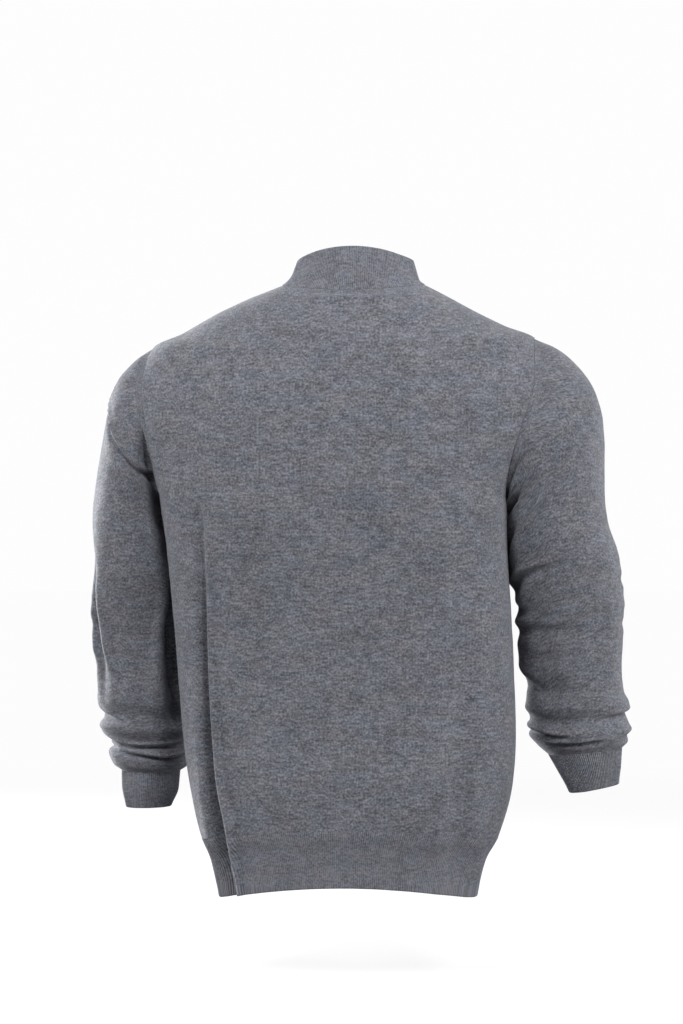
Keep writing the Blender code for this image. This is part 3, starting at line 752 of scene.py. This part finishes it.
# %% Folds of the left sleeve
# rows: turn in degrees, then height (z), depth and width in millimetres
LEFT_FOLDS = [
    # the full back of the sleeve rolls over quickly into the gap beside the body
    Fold([(-82, -300, 0, 6), (-72, -330, 4, 8), (-60, -365, 9.5, 10), (-54, -400, 14, 12),
          (-54, -450, 13, 15), (-54, -485, 9, 14), (-50, -508, 0, 11)], lean=0.15),
    # the sleeve drops away behind the armhole seam
    Fold([(-6, -160, 0, 3), (-15, -178, 4.5, 3.5), (-25, -193, 7, 4), (-38, -207, 8, 4.5),
          (-62, -224, 5, 5)]),
    # where the sleeve rests against the body
    Fold([(-90, -228, 0, 12), (-90, -260, -3.4, 14), (-90, -300, -2.8, 14), (-90, -335, 0, 12)]),
    Fold([(-96, -385, 0, 12), (-98, -430, -5, 13), (-98, -465, -6, 13), (-98, -500, 0, 12)]),
    # the tuck from the outer line down into the armpit
    Fold([(88, -125, 0, 5), (64, -142, 4, 4), (40, -166, 5.2, 3.8), (20, -182, 5, 3.6),
          (3, -193, 5, 3.6), (-20, -207, 6, 3.4), (-40, -215, 7, 3.4), (-60, -223, 7.5, 3.4)],
         lean=-0.7, lap=2),
    # the long hollow inside the outer edge of the forearm
    Fold([(92, -250, 0, 22), (92, -310, 4.8, 24), (92, -350, 5.6, 24), (92, -400, 6.6, 24),
          (92, -470, 0, 22)]),
    Fold([(82, -255, 0, 8), (77, -285, 2.5, 9), (70, -312, 6, 10), (66, -338, 10, 10),
          (61, -364, 13, 10), (57, -388, 13, 10), (54, -412, 10, 10), (51, -434, 5.5, 10),
          (49, -458, 2.4, 9), (52, -480, 0, 8)], lean=0.3),
    Fold([(57, -320, 0, 6), (50, -345, -2.4, 6), (45, -370, -3.2, 7), (41, -395, -3.2, 7),
          (39, -420, -2, 7), (38, -445, 0, 7)]),
    Fold([(68, -392, 0, 8), (85, -384, 3, 9), (110, -372, 4.5, 10), (140, -362, 4, 10),
          (175, -356, 0, 10)], lean=0.3),
    Fold([(62, -432, 0, 8), (84, -428, 2.4, 9), (108, -424, 3, 9), (135, -428, 0, 9)]),
    Fold([(76, -296, 0, 8), (98, -285, 3, 10), (125, -272, 3.5, 10), (150, -262, 0, 10)], lean=0.3),
    # tucks above the cuff
    Fold([(100, -480, 0, 4), (75, -486, 3.5, 4), (60, -490, 4, 3.6), (38, -494, 3.4, 3),
          (14, -500, 0, 3)], lean=-0.5, lap=1),
    Fold([(170, -508, 0, 4), (120, -510, 2, 4), (80, -515, 4, 3.4), (50, -521, 5.5, 3),
          (4, -525, 6, 2.8), (-20, -525, 6, 2.8), (-45, -524, 5.5, 3), (-80, -523, 4, 3.4),
          (-130, -520, 0, 4)], lean=-0.6, lap=2),
    Fold([(140, -522, 0, 4), (90, -524, 3, 3.4), (60, -526, 4.5, 3), (37, -530, 5.5, 2.8),
          (1, -535, 6, 2.8), (-35, -539, 6, 2.8), (-70, -537, 5, 3), (-110, -534, 3, 3.4),
          (-150, -530, 0, 4)], lean=-0.6, lap=2),
    # soft rolls further up the forearm
    Fold([(0, -455, 0, 7), (-25, -470, 1.6, 7), (-50, -483, 2.4, 7), (-80, -488, 2.6, 7),
          (-120, -480, 0, 7)]),
    Fold([(-60, -440, 0, 7), (-90, -447, 3, 7), (-125, -442, 0, 7)]),
    Fold([(-35, -330, 0, 8), (-65, -345, 1.6, 9), (-95, -350, 2.4, 9), (-130, -340, 0, 9)]),
    Fold([(-30, -250, 0, 8), (-60, -268, 2.2, 8), (-90, -285, 3.5, 8), (-130, -270, 0, 9)]),
    # the front of the sleeve: the crook of the elbow and the stack above the cuff
    Fold([(120, -285, 0, 8), (160, -300, 4, 8), (200, -318, 6, 8), (235, -320, 4, 8),
          (260, -312, 0, 8)], lean=0.4),
    Fold([(140, -335, 0, 8), (180, -340, 3.5, 8), (215, -350, 4.5, 8), (250, -352, 0, 8)],
         lean=-0.3),
    Fold([(150, -235, 0, 9), (190, -252, 3, 9), (230, -275, 3, 9), (262, -290, 0, 9)]),
    Fold([(120, -420, 0, 7), (165, -430, 3, 7), (210, -436, 3, 7), (250, -430, 0, 7)]),
    Fold([(100, -452, 0, 6), (150, -458, 3.5, 6), (200, -464, 4, 6), (245, -460, 0, 6)], lean=0.4),
    Fold([(130, -484, 0, 4), (170, -490, 4.5, 4), (215, -494, 4, 4), (250, -490, 0, 4)], lean=0.4),
    Fold([(160, -520, 0, 4), (190, -526, 4.5, 3.4), (225, -528, 4.5, 3.4), (262, -524, 0, 4)],
         lean=0.4),
]

# %% Folds of the right sleeve
RIGHT_FOLDS = [
    # small waves down the outer line
    Fold([(55, -328, 0, 5), (90, -332, 1.3, 5), (125, -326, 0, 5)]),
    Fold([(60, -356, 0, 6), (90, -360, -0.9, 6), (120, -354, 0, 6)]),
    Fold([(55, -378, 0, 5), (90, -382, 1.3, 5), (125, -376, 0, 5)]),
    # where the sleeve rests against the body
    Fold([(-90, -225, 0, 12), (-90, -250, -3, 14), (-90, -300, -3.5, 14), (-90, -335, -3.5, 14),
          (-90, -362, 0, 12)]),
    # three tucks that fan out of the armpit
    Fold([(-10, -172, 0, 4), (-18, -187, 2.6, 3.2), (-37, -208, 6, 3), (-51, -221.5, 8, 3.2),
          (-66, -236, 6, 4), (-84, -245, 1, 6)], lean=0.6, lap=2.5),
    Fold([(-34, -222, 0, 4), (-44, -236, 4, 3.4), (-58, -246, 7.5, 3.4), (-72, -253, 5.5, 4),
          (-88, -258, 1, 6)], lean=-0.6, lap=2),
    Fold([(-38, -262, 0, 6), (-52, -274, 3.5, 6), (-62, -286, 5.5, 6), (-74, -296, 4.5, 7),
          (-90, -302, 1, 8)]),
    # folds across the back of the elbow
    Fold([(14, -314, 0, 6), (0, -315, 0.8, 6), (-13, -318, 2.4, 5), (-28, -322, 4, 5),
          (-42, -328, 5, 5), (-60, -337, 6, 6), (-76, -343, 4.5, 7), (-110, -350, 0, 8)],
         lean=-0.5),
    Fold([(-35, -366, 0, 5), (-52, -368, 3, 5), (-66, -368, 5, 6), (-84, -366, 3.4, 7),
          (-120, -362, 0, 8)]),
    Fold([(40, -388, 0, 7), (15, -389, 0.9, 7), (-20, -389, 2.2, 6), (-45, -389, 3.6, 6),
          (-62, -388, 4, 6), (-86, -392, 3, 7), (-120, -392, 0, 8)], lean=-0.3),
    Fold([(15, -420, 0, 6), (-10, -420, 0.9, 6), (-40, -421, 1.3, 6), (-65, -418, 0, 6)]),
    Fold([(-32, -463, 0, 7), (-45, -458, 2.6, 7), (-65, -450, 3.6, 7), (-88, -446, 3.4, 8),
          (-125, -446, 0, 9)]),
    Fold([(10, -496, 0, 5), (-20, -495, 1.4, 5), (-48, -492, 2, 5), (-75, -488, 2, 5),
          (-105, -486, 0, 5)]),
    # tucks above the cuff
    Fold([(-10, -511, 0, 3), (-27, -510, 4.5, 2.8), (-42, -508, 6.5, 2.8), (-68, -505, 6.5, 3),
          (-95, -501, 4, 3.4), (-135, -496, 0, 4)], lean=-0.6, lap=2),
    Fold([(32, -515, 0, 2.4), (16, -516, 3.2, 2.4), (-8, -518.5, 3.8, 2.4), (-32, -519, 3.6, 2.4),
          (-48, -518, 0, 2.4)], lean=-0.5, lap=1),
    Fold([(22, -491, 0, 3), (40, -488, 2.4, 3), (68, -486, 4, 3.4), (92, -484, 3.5, 4),
          (125, -482, 0, 4)], lean=0.5, lap=1),
    Fold([(50, -515, 0, 4), (72, -512, 2.5, 4), (100, -510, 3.5, 4), (140, -512, 0, 4)]),
    # the front of the sleeve
    Fold([(120, -272, 0, 8), (160, -290, 4, 8), (200, -305, 6, 8), (235, -308, 4, 8),
          (262, -300, 0, 8)], lean=0.4),
    Fold([(130, -330, 0, 8), (175, -336, 4, 8), (215, -345, 4.5, 8), (255, -342, 0, 8)], lean=-0.3),
    Fold([(150, -230, 0, 9), (190, -248, 2.6, 9), (230, -268, 3, 9), (260, -276, 0, 9)]),
    Fold([(115, -405, 0, 7), (160, -412, 3.2, 7), (205, -420, 3.2, 7), (245, -412, 0, 7)]),
    Fold([(120, -448, 0, 6), (165, -452, 3.6, 6), (210, -460, 3.6, 6), (250, -455, 0, 6)],
         lean=0.4),
    Fold([(140, -486, 0, 4), (180, -492, 4.5, 4), (220, -496, 4, 4), (252, -498, 0, 4)], lean=0.4),
]
print("folds on the sleeves:", len(LEFT_FOLDS) + len(RIGHT_FOLDS))

# %% Lay every fold
def folded_panel(sheet, folds, facing):
    """A folded panel. Its stitches are measured along the folds, so none is stretched."""
    cloth = fold_cloth(sheet, folds, facing, still=SIDES + ("top",), seams=SIDES + ("top",))
    return cloth._replace(u=places_across(cloth.points))


def folded_sleeve(sheet, folds, side):
    cloth = fold_cloth(sheet, folds, side, tube=True, still=("top",), still_reach=SLEEVE_STILL)
    return flat_tube(cloth.points)


back_cloth = folded_panel(back_sheet, BACK_FOLDS, 1)
front_cloth = folded_panel(front_sheet, FRONT_FOLDS, -1)
back_rib_cloth = fold_cloth(back_rib, BACK_FOLDS, 1, still=SIDES, seams=SIDES)
front_rib_cloth = fold_cloth(front_rib, FRONT_FOLDS, -1, still=SIDES, seams=SIDES)
left_cloth = folded_sleeve(left_sheet, LEFT_FOLDS, 1)
right_cloth = folded_sleeve(right_sheet, RIGHT_FOLDS, -1)
left_cuff_cloth = fold_cloth(left_cuff, [], 1, tube=True)
right_cuff_cloth = fold_cloth(right_cuff, [], -1, tube=True)
collar_cloth = fold_cloth(collar, [], -1, tube=True, seams=("top",))
pleat_depth = (back_sheet.points - back_cloth.points)[..., 1].max()
print("deepest point of the pleat:", round(float(pleat_depth), 4))

# %% [markdown]
# ## From points to cloth
# The points are laid on a plain grid, one of Blender's own primitives. A sleeve, a cuff and the
# collar are grids whose last column lies on the first, and merging the doubles sews them into
# tubes. Solidify then gives the cloth its wall, all on the inner side, so that the outside stays
# where it was laid. The free edges are rolled in a little first, as a knitted edge is.

# %% Ribs and rolled edges
RIB_RELIEF = 0.00026
EDGE_ROLL = ((0.0018, 0.0), (0.0007, 0.0002), (0.0, 0.0009))    # distance to the edge, how far in


def ribbed(sheet, facing, tube):
    """Columns of stitches that stand out and sit back by turns."""
    out = outward_frame(sheet.points, facing, tube)[2]
    phase = np.arange(sheet.points.shape[1]) * (2 * math.pi / COLUMNS_PER_RIB)
    return sheet._replace(points=sheet.points + RIB_RELIEF * np.cos(phase)[None, :, None] * out)


def with_rolled_edge(sheet, facing, tube):
    """The last row is a free edge: extra rows beside it curl it inwards."""
    out = outward_frame(sheet.points, facing, tube)[2][-1]
    last_step = np.linalg.norm(sheet.points[-1] - sheet.points[-2], axis=1).mean()
    points, u, v = ([*part[:-1]] for part in sheet)
    for distance, inwards in EDGE_ROLL:
        share = distance / last_step
        points.append(sheet.points[-1] * (1 - share) + sheet.points[-2] * share - inwards * out)
        u.append(sheet.u[-1])
        v.append(sheet.v[-1] * (1 - share) + sheet.v[-2] * share)
    return Sheet(np.array(points), np.array(u), np.array(v))


print("relief of a rib:", RIB_RELIEF, "m")

# %% Laying cloth on a grid
SMOOTH_BELOW = math.radians(75)
SEWN_WITHIN = 0.00001


def added(operator, name, **settings):
    """A new object from one of Blender's own operators, with nothing else selected."""
    bpy.ops.object.select_all(action="DESELECT")
    operator(**settings)
    piece = bpy.context.object
    piece.name = name
    return piece


def lay_cloth(name, sheet, facing, wall, tube):
    """A grid laid on the sheet's points, closed if it is a tube, and given its wall."""
    points, u, v = sheet
    if facing < 0:
        points, u, v = points[:, ::-1], u[:, ::-1], v[:, ::-1]
    rows, columns = u.shape
    piece = added(bpy.ops.mesh.primitive_grid_add, name,
                  x_subdivisions=columns - 1, y_subdivisions=rows - 1, size=1)
    mesh = piece.data
    mesh.name = name
    mesh.vertices.foreach_set("co", points.astype(np.float32).ravel())
    corners = np.empty(len(mesh.loops), dtype=np.int32)
    mesh.loops.foreach_get("vertex_index", corners)
    flat_places = np.column_stack([u.ravel()[corners], v.ravel()[corners]])
    mesh.uv_layers.active.data.foreach_set("uv", flat_places.astype(np.float32).ravel())
    mesh.update()
    if tube:
        bpy.ops.object.mode_set(mode="EDIT")
        bpy.ops.mesh.select_all(action="SELECT")
        bpy.ops.mesh.remove_doubles(threshold=SEWN_WITHIN)
        bpy.ops.object.mode_set(mode="OBJECT")
    shell = piece.modifiers.new("wall", "SOLIDIFY")
    shell.thickness = wall
    shell.offset = -1
    bpy.ops.object.modifier_apply(modifier=shell.name)
    bpy.ops.object.shade_smooth_by_angle(angle=SMOOTH_BELOW)
    print(name, "faces:", len(mesh.polygons))
    return piece


print("smooth below", round(math.degrees(SMOOTH_BELOW)), "degrees")

# %% The nine pieces
JERSEY_WALL = 0.0020
RIB_WALL = 0.0024
COLLAR_WALL = 0.0030
Cloth = namedtuple("Cloth", "sheet facing wall finish tube", defaults=(False,))
CLOTHS = {
    "back_panel": Cloth(back_cloth, 1, JERSEY_WALL, "jersey_knit"),
    "front_panel": Cloth(front_cloth, -1, JERSEY_WALL, "jersey_knit"),
    "sleeve_left": Cloth(left_cloth, 1, JERSEY_WALL, "jersey_knit", tube=True),
    "sleeve_right": Cloth(right_cloth, -1, JERSEY_WALL, "jersey_knit", tube=True),
    "back_hem_rib": Cloth(back_rib_cloth, 1, RIB_WALL, "rib_knit"),
    "front_hem_rib": Cloth(front_rib_cloth, -1, RIB_WALL, "rib_knit"),
    "cuff_left": Cloth(left_cuff_cloth, 1, RIB_WALL, "rib_knit", tube=True),
    "cuff_right": Cloth(right_cuff_cloth, -1, RIB_WALL, "rib_knit", tube=True),
    "collar": Cloth(collar_cloth, -1, COLLAR_WALL, "rib_knit", tube=True),
}
pieces = {}
for node, (sheet, facing, wall, finish, tube) in CLOTHS.items():
    if finish == "rib_knit":
        sheet = with_rolled_edge(ribbed(sheet, facing, tube), facing, tube)
    pieces[node] = lay_cloth(node + "_cloth", sheet, facing, wall, tube)

# %% [markdown]
# ## Yarn and stitches
# The yarn is a marl: fibres dyed light and dark grey are spun together, so that no two stitches
# have the same colour. Noise stretched along the rows of stitches gives that broken, streaky
# grey. The stitches themselves are small hearts in columns, and they only show close up, so a
# bump map is enough for them. A soft sheen stands for the fuzz of fibres that catches light at
# the cloth's edges. All of it reads the cloth's own flat places, in metres, so that the grain
# follows every fold.

# %% A small language for materials
FLAT_CLOTH, OBJECT_SPACE = 2, 3     # which output of the coordinates node gives each of them
GRAIN_ROUGHNESS = 0.55


class Wire:
    """A number on its way through a material. Sums and products of wires add Math nodes."""

    def __init__(self, recipe, socket):
        self.recipe = recipe
        self.socket = socket

    def math(self, operation, *values):
        return self.recipe.node("ShaderNodeMath", {"operation": operation}, dict(enumerate(values)))

    def __add__(self, other):
        return self.math("ADD", self, other)

    def __radd__(self, other):
        return self.math("ADD", other, self)

    def __sub__(self, other):
        return self.math("SUBTRACT", self, other)

    def __mul__(self, other):
        return self.math("MULTIPLY", self, other)


class Recipe:
    """A material in the making."""

    def __init__(self, name):
        self.material = bpy.data.materials.new(name)
        self.material.use_nodes = True
        self.tree = self.material.node_tree
        self.tree.nodes.clear()

    def node(self, kind, settings, values, output=0):
        """Adds a node: its settings first, then numbers or wires for its sockets."""
        node = self.tree.nodes.new(kind)
        for setting, value in settings.items():
            setattr(node, setting, value)
        for socket, value in values.items():
            if isinstance(value, Wire):
                self.tree.links.new(value.socket, node.inputs[socket])
            else:
                node.inputs[socket].default_value = value
        return Wire(self, node.outputs[output]) if node.outputs else None

    def finish(self, shader):
        self.node("ShaderNodeOutputMaterial", {}, {"Surface": shader})
        return self.material

    def place(self, output):
        """The place that is being shaded: on the flat cloth, or in the object's own space."""
        return self.node("ShaderNodeTexCoord", {}, {}, output)

    def parts(self, place):
        """The first two numbers of a place."""
        first = self.node("ShaderNodeSeparateXYZ", {}, {0: place})
        return first, Wire(self, first.socket.node.outputs[1])

    def glow(self, colour, strength):
        return self.node("ShaderNodeEmission", {}, {"Color": colour, "Strength": strength})

    def colour_mix(self, share, first, second):
        colours = {0: share, 6: first, 7: second}
        return self.node("ShaderNodeMix", {"data_type": "RGBA"}, colours, output=2)

    def grain(self, place, sizes, detail):
        """Noise from 0 to 1, with grains of those sizes across and up the cloth, in metres."""
        lengths = (1 / sizes[0], 1 / sizes[1], 1)
        spot = self.node("ShaderNodeVectorMath", {"operation": "MULTIPLY"}, {0: place, 1: lengths})
        values = {"Vector": spot, "Scale": 1.0, "Detail": detail, "Roughness": GRAIN_ROUGHNESS}
        return self.node("ShaderNodeTexNoise", {}, values)


print("materials are written with:", Wire.__name__, "and", Recipe.__name__)

# %% Stitches, marl and fuzz
STITCH_WIDE = 0.0017
STITCH_HIGH = 0.00125
STITCH_LEAN = 2.4                   # how far a stitch's legs lean, as a phase of its rows
COLUMN_SHARE, ROW_SHARE = 0.5, 0.3  # of the relief: the columns of stitches, and their rows
JERSEY_RELIEF = 0.0004
RIB_KNIT_RELIEF = 0.0005
RIDGE_SHARE, LOOP_SHARE = 0.6, 0.5  # of a rib's relief: its ridge, and its stitches
DARK_YARN = (0.048, 0.052, 0.064, 1)
LIGHT_YARN = (0.236, 0.250, 0.294, 1)
DARK_WARM = (0.052, 0.052, 0.061, 1)
LIGHT_WARM = (0.252, 0.250, 0.280, 1)
FUZZ_TINT = (0.80, 0.82, 0.88, 1)
RIB_PAINTED_LIGHT = 0.17                     # painted highlight and shade: how much lighter a rib's ridge is painted, and darker its groove
FLECK_RISE, FLECK_BASE = 0.9, 0.52  # they make the light flecks rarer than the dark ones
Layer = namedtuple("Layer", "sizes detail share")
MARL = (
    Layer((0.0085, 0.0032), 1.5, 0.80),     # streaks
    Layer((0.0025, 0.0024), 1.5, 1.3),      # grains
    Layer((0.018, 0.012), 1.0, 0.4),        # patches
    Layer((0.065, 0.050), 1.0, 0.25),       # clouds
)
TINTS = Layer((0.045, 0.022), 1.0, 2.6)
TURN = 2 * math.pi


def marl(recipe, place):
    """How light the yarn is at a place, from 0 to 1. The light flecks are the rarer ones."""
    light = 0.5
    for sizes, detail, share in MARL:
        light = light + (recipe.grain(place, sizes, detail) - 0.5) * share
    return light * (light * FLECK_RISE + FLECK_BASE)


def yarn_colour(recipe, place, light):
    """The marl in two tints, a cooler and a warmer one, in wide soft patches."""
    cool = recipe.colour_mix(light, DARK_YARN, LIGHT_YARN)
    warm = recipe.colour_mix(light, DARK_WARM, LIGHT_WARM)
    patches = recipe.grain(place, TINTS.sizes, TINTS.detail)
    return recipe.colour_mix((patches - 0.5) * TINTS.share + 0.5, cool, warm)


def stitches(recipe, place):
    """The relief of plain knitting: columns of small leaning loops."""
    u, v = recipe.parts(place)
    column = u * (TURN / STITCH_WIDE)
    arch = column.math("ABSOLUTE", column.math("SINE", column * 0.5))
    loop = v * (TURN / STITCH_HIGH) + arch * STITCH_LEAN
    return arch * COLUMN_SHARE + loop.math("SINE", loop) * ROW_SHARE


def knit_shader(recipe, colour, relief, relief_height):
    bumps = {"Strength": 0.8, "Distance": relief_height, "Height": relief}
    bump = recipe.node("ShaderNodeBump", {}, bumps)
    fabric = recipe.node("ShaderNodeBsdfPrincipled", {}, {
        "Base Color": colour, "Roughness": 0.86, "Specular IOR Level": 0.25, "Normal": bump,
        "Sheen Weight": 0.35, "Sheen Roughness": 0.45, "Sheen Tint": FUZZ_TINT})
    return recipe.finish(fabric)


def jersey():
    recipe = Recipe("marl_jersey")
    place = recipe.place(FLAT_CLOTH)
    colour = yarn_colour(recipe, place, marl(recipe, place))
    return knit_shader(recipe, colour, stitches(recipe, place), JERSEY_RELIEF)


def rib():
    recipe = Recipe("marl_rib")
    place = recipe.place(FLAT_CLOTH)
    phase = recipe.parts(place)[0] * (TURN / RIB_PITCH)
    ridge = phase.math("COSINE", phase)
    # painted light: the ridges are painted lighter than the grooves, and the whole band lighter, to
    # make up for the shade that falls between the ridges
    light = marl(recipe, place) + ridge * RIB_PAINTED_LIGHT + RIB_PAINTED_LIGHT
    colour = yarn_colour(recipe, place, light)
    relief = ridge * RIDGE_SHARE + stitches(recipe, place) * LOOP_SHARE
    return knit_shader(recipe, colour, relief, RIB_KNIT_RELIEF)


def dressed(piece, material):
    piece.data.materials.clear()
    piece.data.materials.append(material)


materials = {"jersey_knit": jersey(), "rib_knit": rib()}
for node, piece in pieces.items():
    dressed(piece, materials[CLOTHS[node].finish])
print("nodes in the jersey:", len(materials["jersey_knit"].node_tree.nodes))

# %% [markdown]
# ## Floor, light and camera
# A white studio: a bright shell all round that only the eye sees, and a much dimmer sky that
# gives the soft light between the folds. Two large panels, one on either side of the viewer and
# above, light the back of the sweater. A tall panel on each side fills the sleeves, a wide weak
# one hangs over the shoulders, and two more stand beyond the sweater and draw a bright edge down
# it, a strong one on the left and a faint one on the right. The floor is pale and turns into the
# shell's own white far away, so that the camera sees no horizon.

# %% The white studio
STUDIO_WHITE = (0.985, 0.985, 0.985, 1)
FLOOR_WHITE = (0.92, 0.92, 0.92, 1)
SKY_STRENGTH = 0.20
SHELL_RADIUS, FLOOR_RADIUS = 18, 17
FLOOR_Z = -0.78
FAR_GLOW = 0.99                 # how brightly the far floor shines, next to the shell's 1
FAR_FROM, FAR_TO = 0.9, 3.0     # the floor turns into that white between these distances
NEAR_SHARE = 0.62               # and is this much of it close by


def dim_sky():
    sky = bpy.data.worlds.new("soft_sky")
    sky.use_nodes = True
    background = sky.node_tree.nodes["Background"]
    background.inputs["Color"].default_value = STUDIO_WHITE
    background.inputs["Strength"].default_value = SKY_STRENGTH
    bpy.context.scene.world = sky


def unseen_by(piece, *rays):
    for ray in rays:
        setattr(piece, "visible_" + ray, False)


def white_shell():
    """A far white ball that the camera sees, and that neither gives nor stops any light."""
    shell = added(bpy.ops.mesh.primitive_uv_sphere_add, "white_shell",
                  segments=48, ring_count=24, radius=SHELL_RADIUS)
    unseen_by(shell, "diffuse", "glossy", "transmission", "shadow")
    recipe = Recipe("shell_white")
    dressed(shell, recipe.finish(recipe.glow(STUDIO_WHITE, 1.0)))
    return shell


def pale_floor():
    floor = added(bpy.ops.mesh.primitive_circle_add, "floor",
                  vertices=64, radius=FLOOR_RADIUS, fill_type="NGON")
    for corner in floor.data.vertices:
        corner.co.z = FLOOR_Z
    recipe = Recipe("pale_floor")
    place = recipe.place(OBJECT_SPACE)
    away = recipe.node("ShaderNodeVectorMath", {"operation": "LENGTH"}, {0: place}, output=1)
    fade = {"Value": away, "From Min": FAR_FROM, "From Max": FAR_TO, "To Min": NEAR_SHARE}
    far = recipe.node("ShaderNodeMapRange", {"interpolation_type": "SMOOTHSTEP"}, fade)
    finish = {"Base Color": FLOOR_WHITE, "Roughness": 0.7}
    matt = recipe.node("ShaderNodeBsdfPrincipled", {}, finish)
    mixed = {0: far, 1: matt, 2: recipe.glow(STUDIO_WHITE, FAR_GLOW)}
    dressed(floor, recipe.finish(recipe.node("ShaderNodeMixShader", {}, mixed)))
    unseen_by(floor, "diffuse", "glossy")
    return floor


dim_sky()
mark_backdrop(white_shell(), pale_floor())
bpy.context.scene.view_settings.view_transform = "Standard"
print("floor at", FLOOR_Z, "m")

# %% Soft panels of light
Panel = namedtuple("Panel", "name place aim size power")
PANELS = (
    Panel("front_left", (1.4, 2.75, 1.65), (0.0, 0.0, -0.2), (0.9, 1.1), 42.0),
    Panel("front_right", (-1.4, 2.75, 1.65), (0.0, 0.0, -0.2), (0.9, 1.1), 60.5),
    Panel("box_left", (2.75, 0.6, 0.3), (0.0, 0.0, -0.25), (0.9, 1.7), 40.0),
    Panel("box_right", (-2.7, 0.9, 0.3), (0.0, 0.0, -0.25), (0.9, 1.7), 40.0),
    Panel("above", (0.0, 0.9, 2.0), (0.0, 0.0, -0.1), (2.4, 1.4), 5.0),
    Panel("edge_left", (2.0, -1.6, -0.15), (0.2, 0.0, -0.3), (0.8, 1.4), 140.0),
    Panel("edge_right", (-1.9, -1.7, 0.4), (-0.2, 0.0, -0.3), (0.8, 1.7), 30.0),
)
for name, place, aim, size, power in PANELS:
    lamp = added(bpy.ops.object.light_add, "light_" + name, type="AREA", location=place)
    lamp.data.shape = "RECTANGLE"
    lamp.data.size, lamp.data.size_y = size
    lamp.data.energy = power
    unseen_by(lamp, "camera")
    lamp.rotation_euler = (Vector(aim) - Vector(place)).to_track_quat("-Z", "Y").to_euler()
print("panels of light:", len(PANELS))

# %% The camera
CAMERA_TURN = math.radians(5.5)
CAMERA_AWAY = 3.5
CAMERA_HIGH = -0.2554
CAMERA_ASIDE = 0.01646
CAMERA_LENS = 108.41
SENSOR = 36
ahead = Vector((math.sin(CAMERA_TURN), -math.cos(CAMERA_TURN), 0.0))
aside = Vector((math.cos(CAMERA_TURN), math.sin(CAMERA_TURN), 0.0))
camera_place = CAMERA_ASIDE * aside - CAMERA_AWAY * ahead + Vector((0, 0, CAMERA_HIGH))
camera = added(bpy.ops.object.camera_add, "Camera", location=camera_place)
camera.rotation_euler = ahead.to_track_quat("-Z", "Y").to_euler()
camera.data.sensor_fit = "VERTICAL"
camera.data.sensor_height = SENSOR
camera.data.lens = CAMERA_LENS
bpy.context.scene.camera = camera
print("camera at", [round(value, 3) for value in camera.location])

# %% [markdown]
# ## What each piece is
# Every piece is a sheet of knitted cloth, knitted to its own flat size and then sewn. It stands
# for one part of the solid model, and hangs from the pieces that it is sewn to. A rib band is
# knitted on as many stitches as its panel, so pulled flat it is far wider than it looks. The two
# sleeves are knitted alike, and so are the two cuffs and the two hem bands.

# %% Ride, replace and measure
BODY = ("back_panel", "front_panel")
Sheeting = namedtuple("Sheeting", "flat hangs_from area", defaults=(None,))
SHEETS = {
    # its width and length, what it hangs from, and its area where it is no rectangle
    "back_panel": Sheeting((0.56, 0.64), BODY[1:], 0.300),
    "front_panel": Sheeting((0.56, 0.62), BODY[:1], 0.300),
    "sleeve_left": Sheeting((0.42, 0.50), BODY, 0.155),
    "sleeve_right": Sheeting((0.42, 0.50), BODY, 0.155),
    "back_hem_rib": Sheeting((0.56, 0.075), BODY[:1]),
    "front_hem_rib": Sheeting((0.56, 0.075), BODY[1:]),
    "cuff_left": Sheeting((0.25, 0.060), ("sleeve_left",)),
    "cuff_right": Sheeting((0.25, 0.060), ("sleeve_right",)),
    "collar": Sheeting((0.50, 0.066), BODY),
}
for node, (flat, hangs_from, area) in SHEETS.items():
    piece = pieces[node]
    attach(piece, "root")
    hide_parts(node)
    half_area = sum(face.area for face in piece.data.polygons) / 2
    print(node, "half surface:", round(half_area, 4), "flat:", area or flat[0] * flat[1])

# %% Sizes
visual_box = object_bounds()
for name, box in (("solids", cad_box), ("cloth", visual_box)):
    print(name, [[round(value, 4) for value in corner] for corner in box])
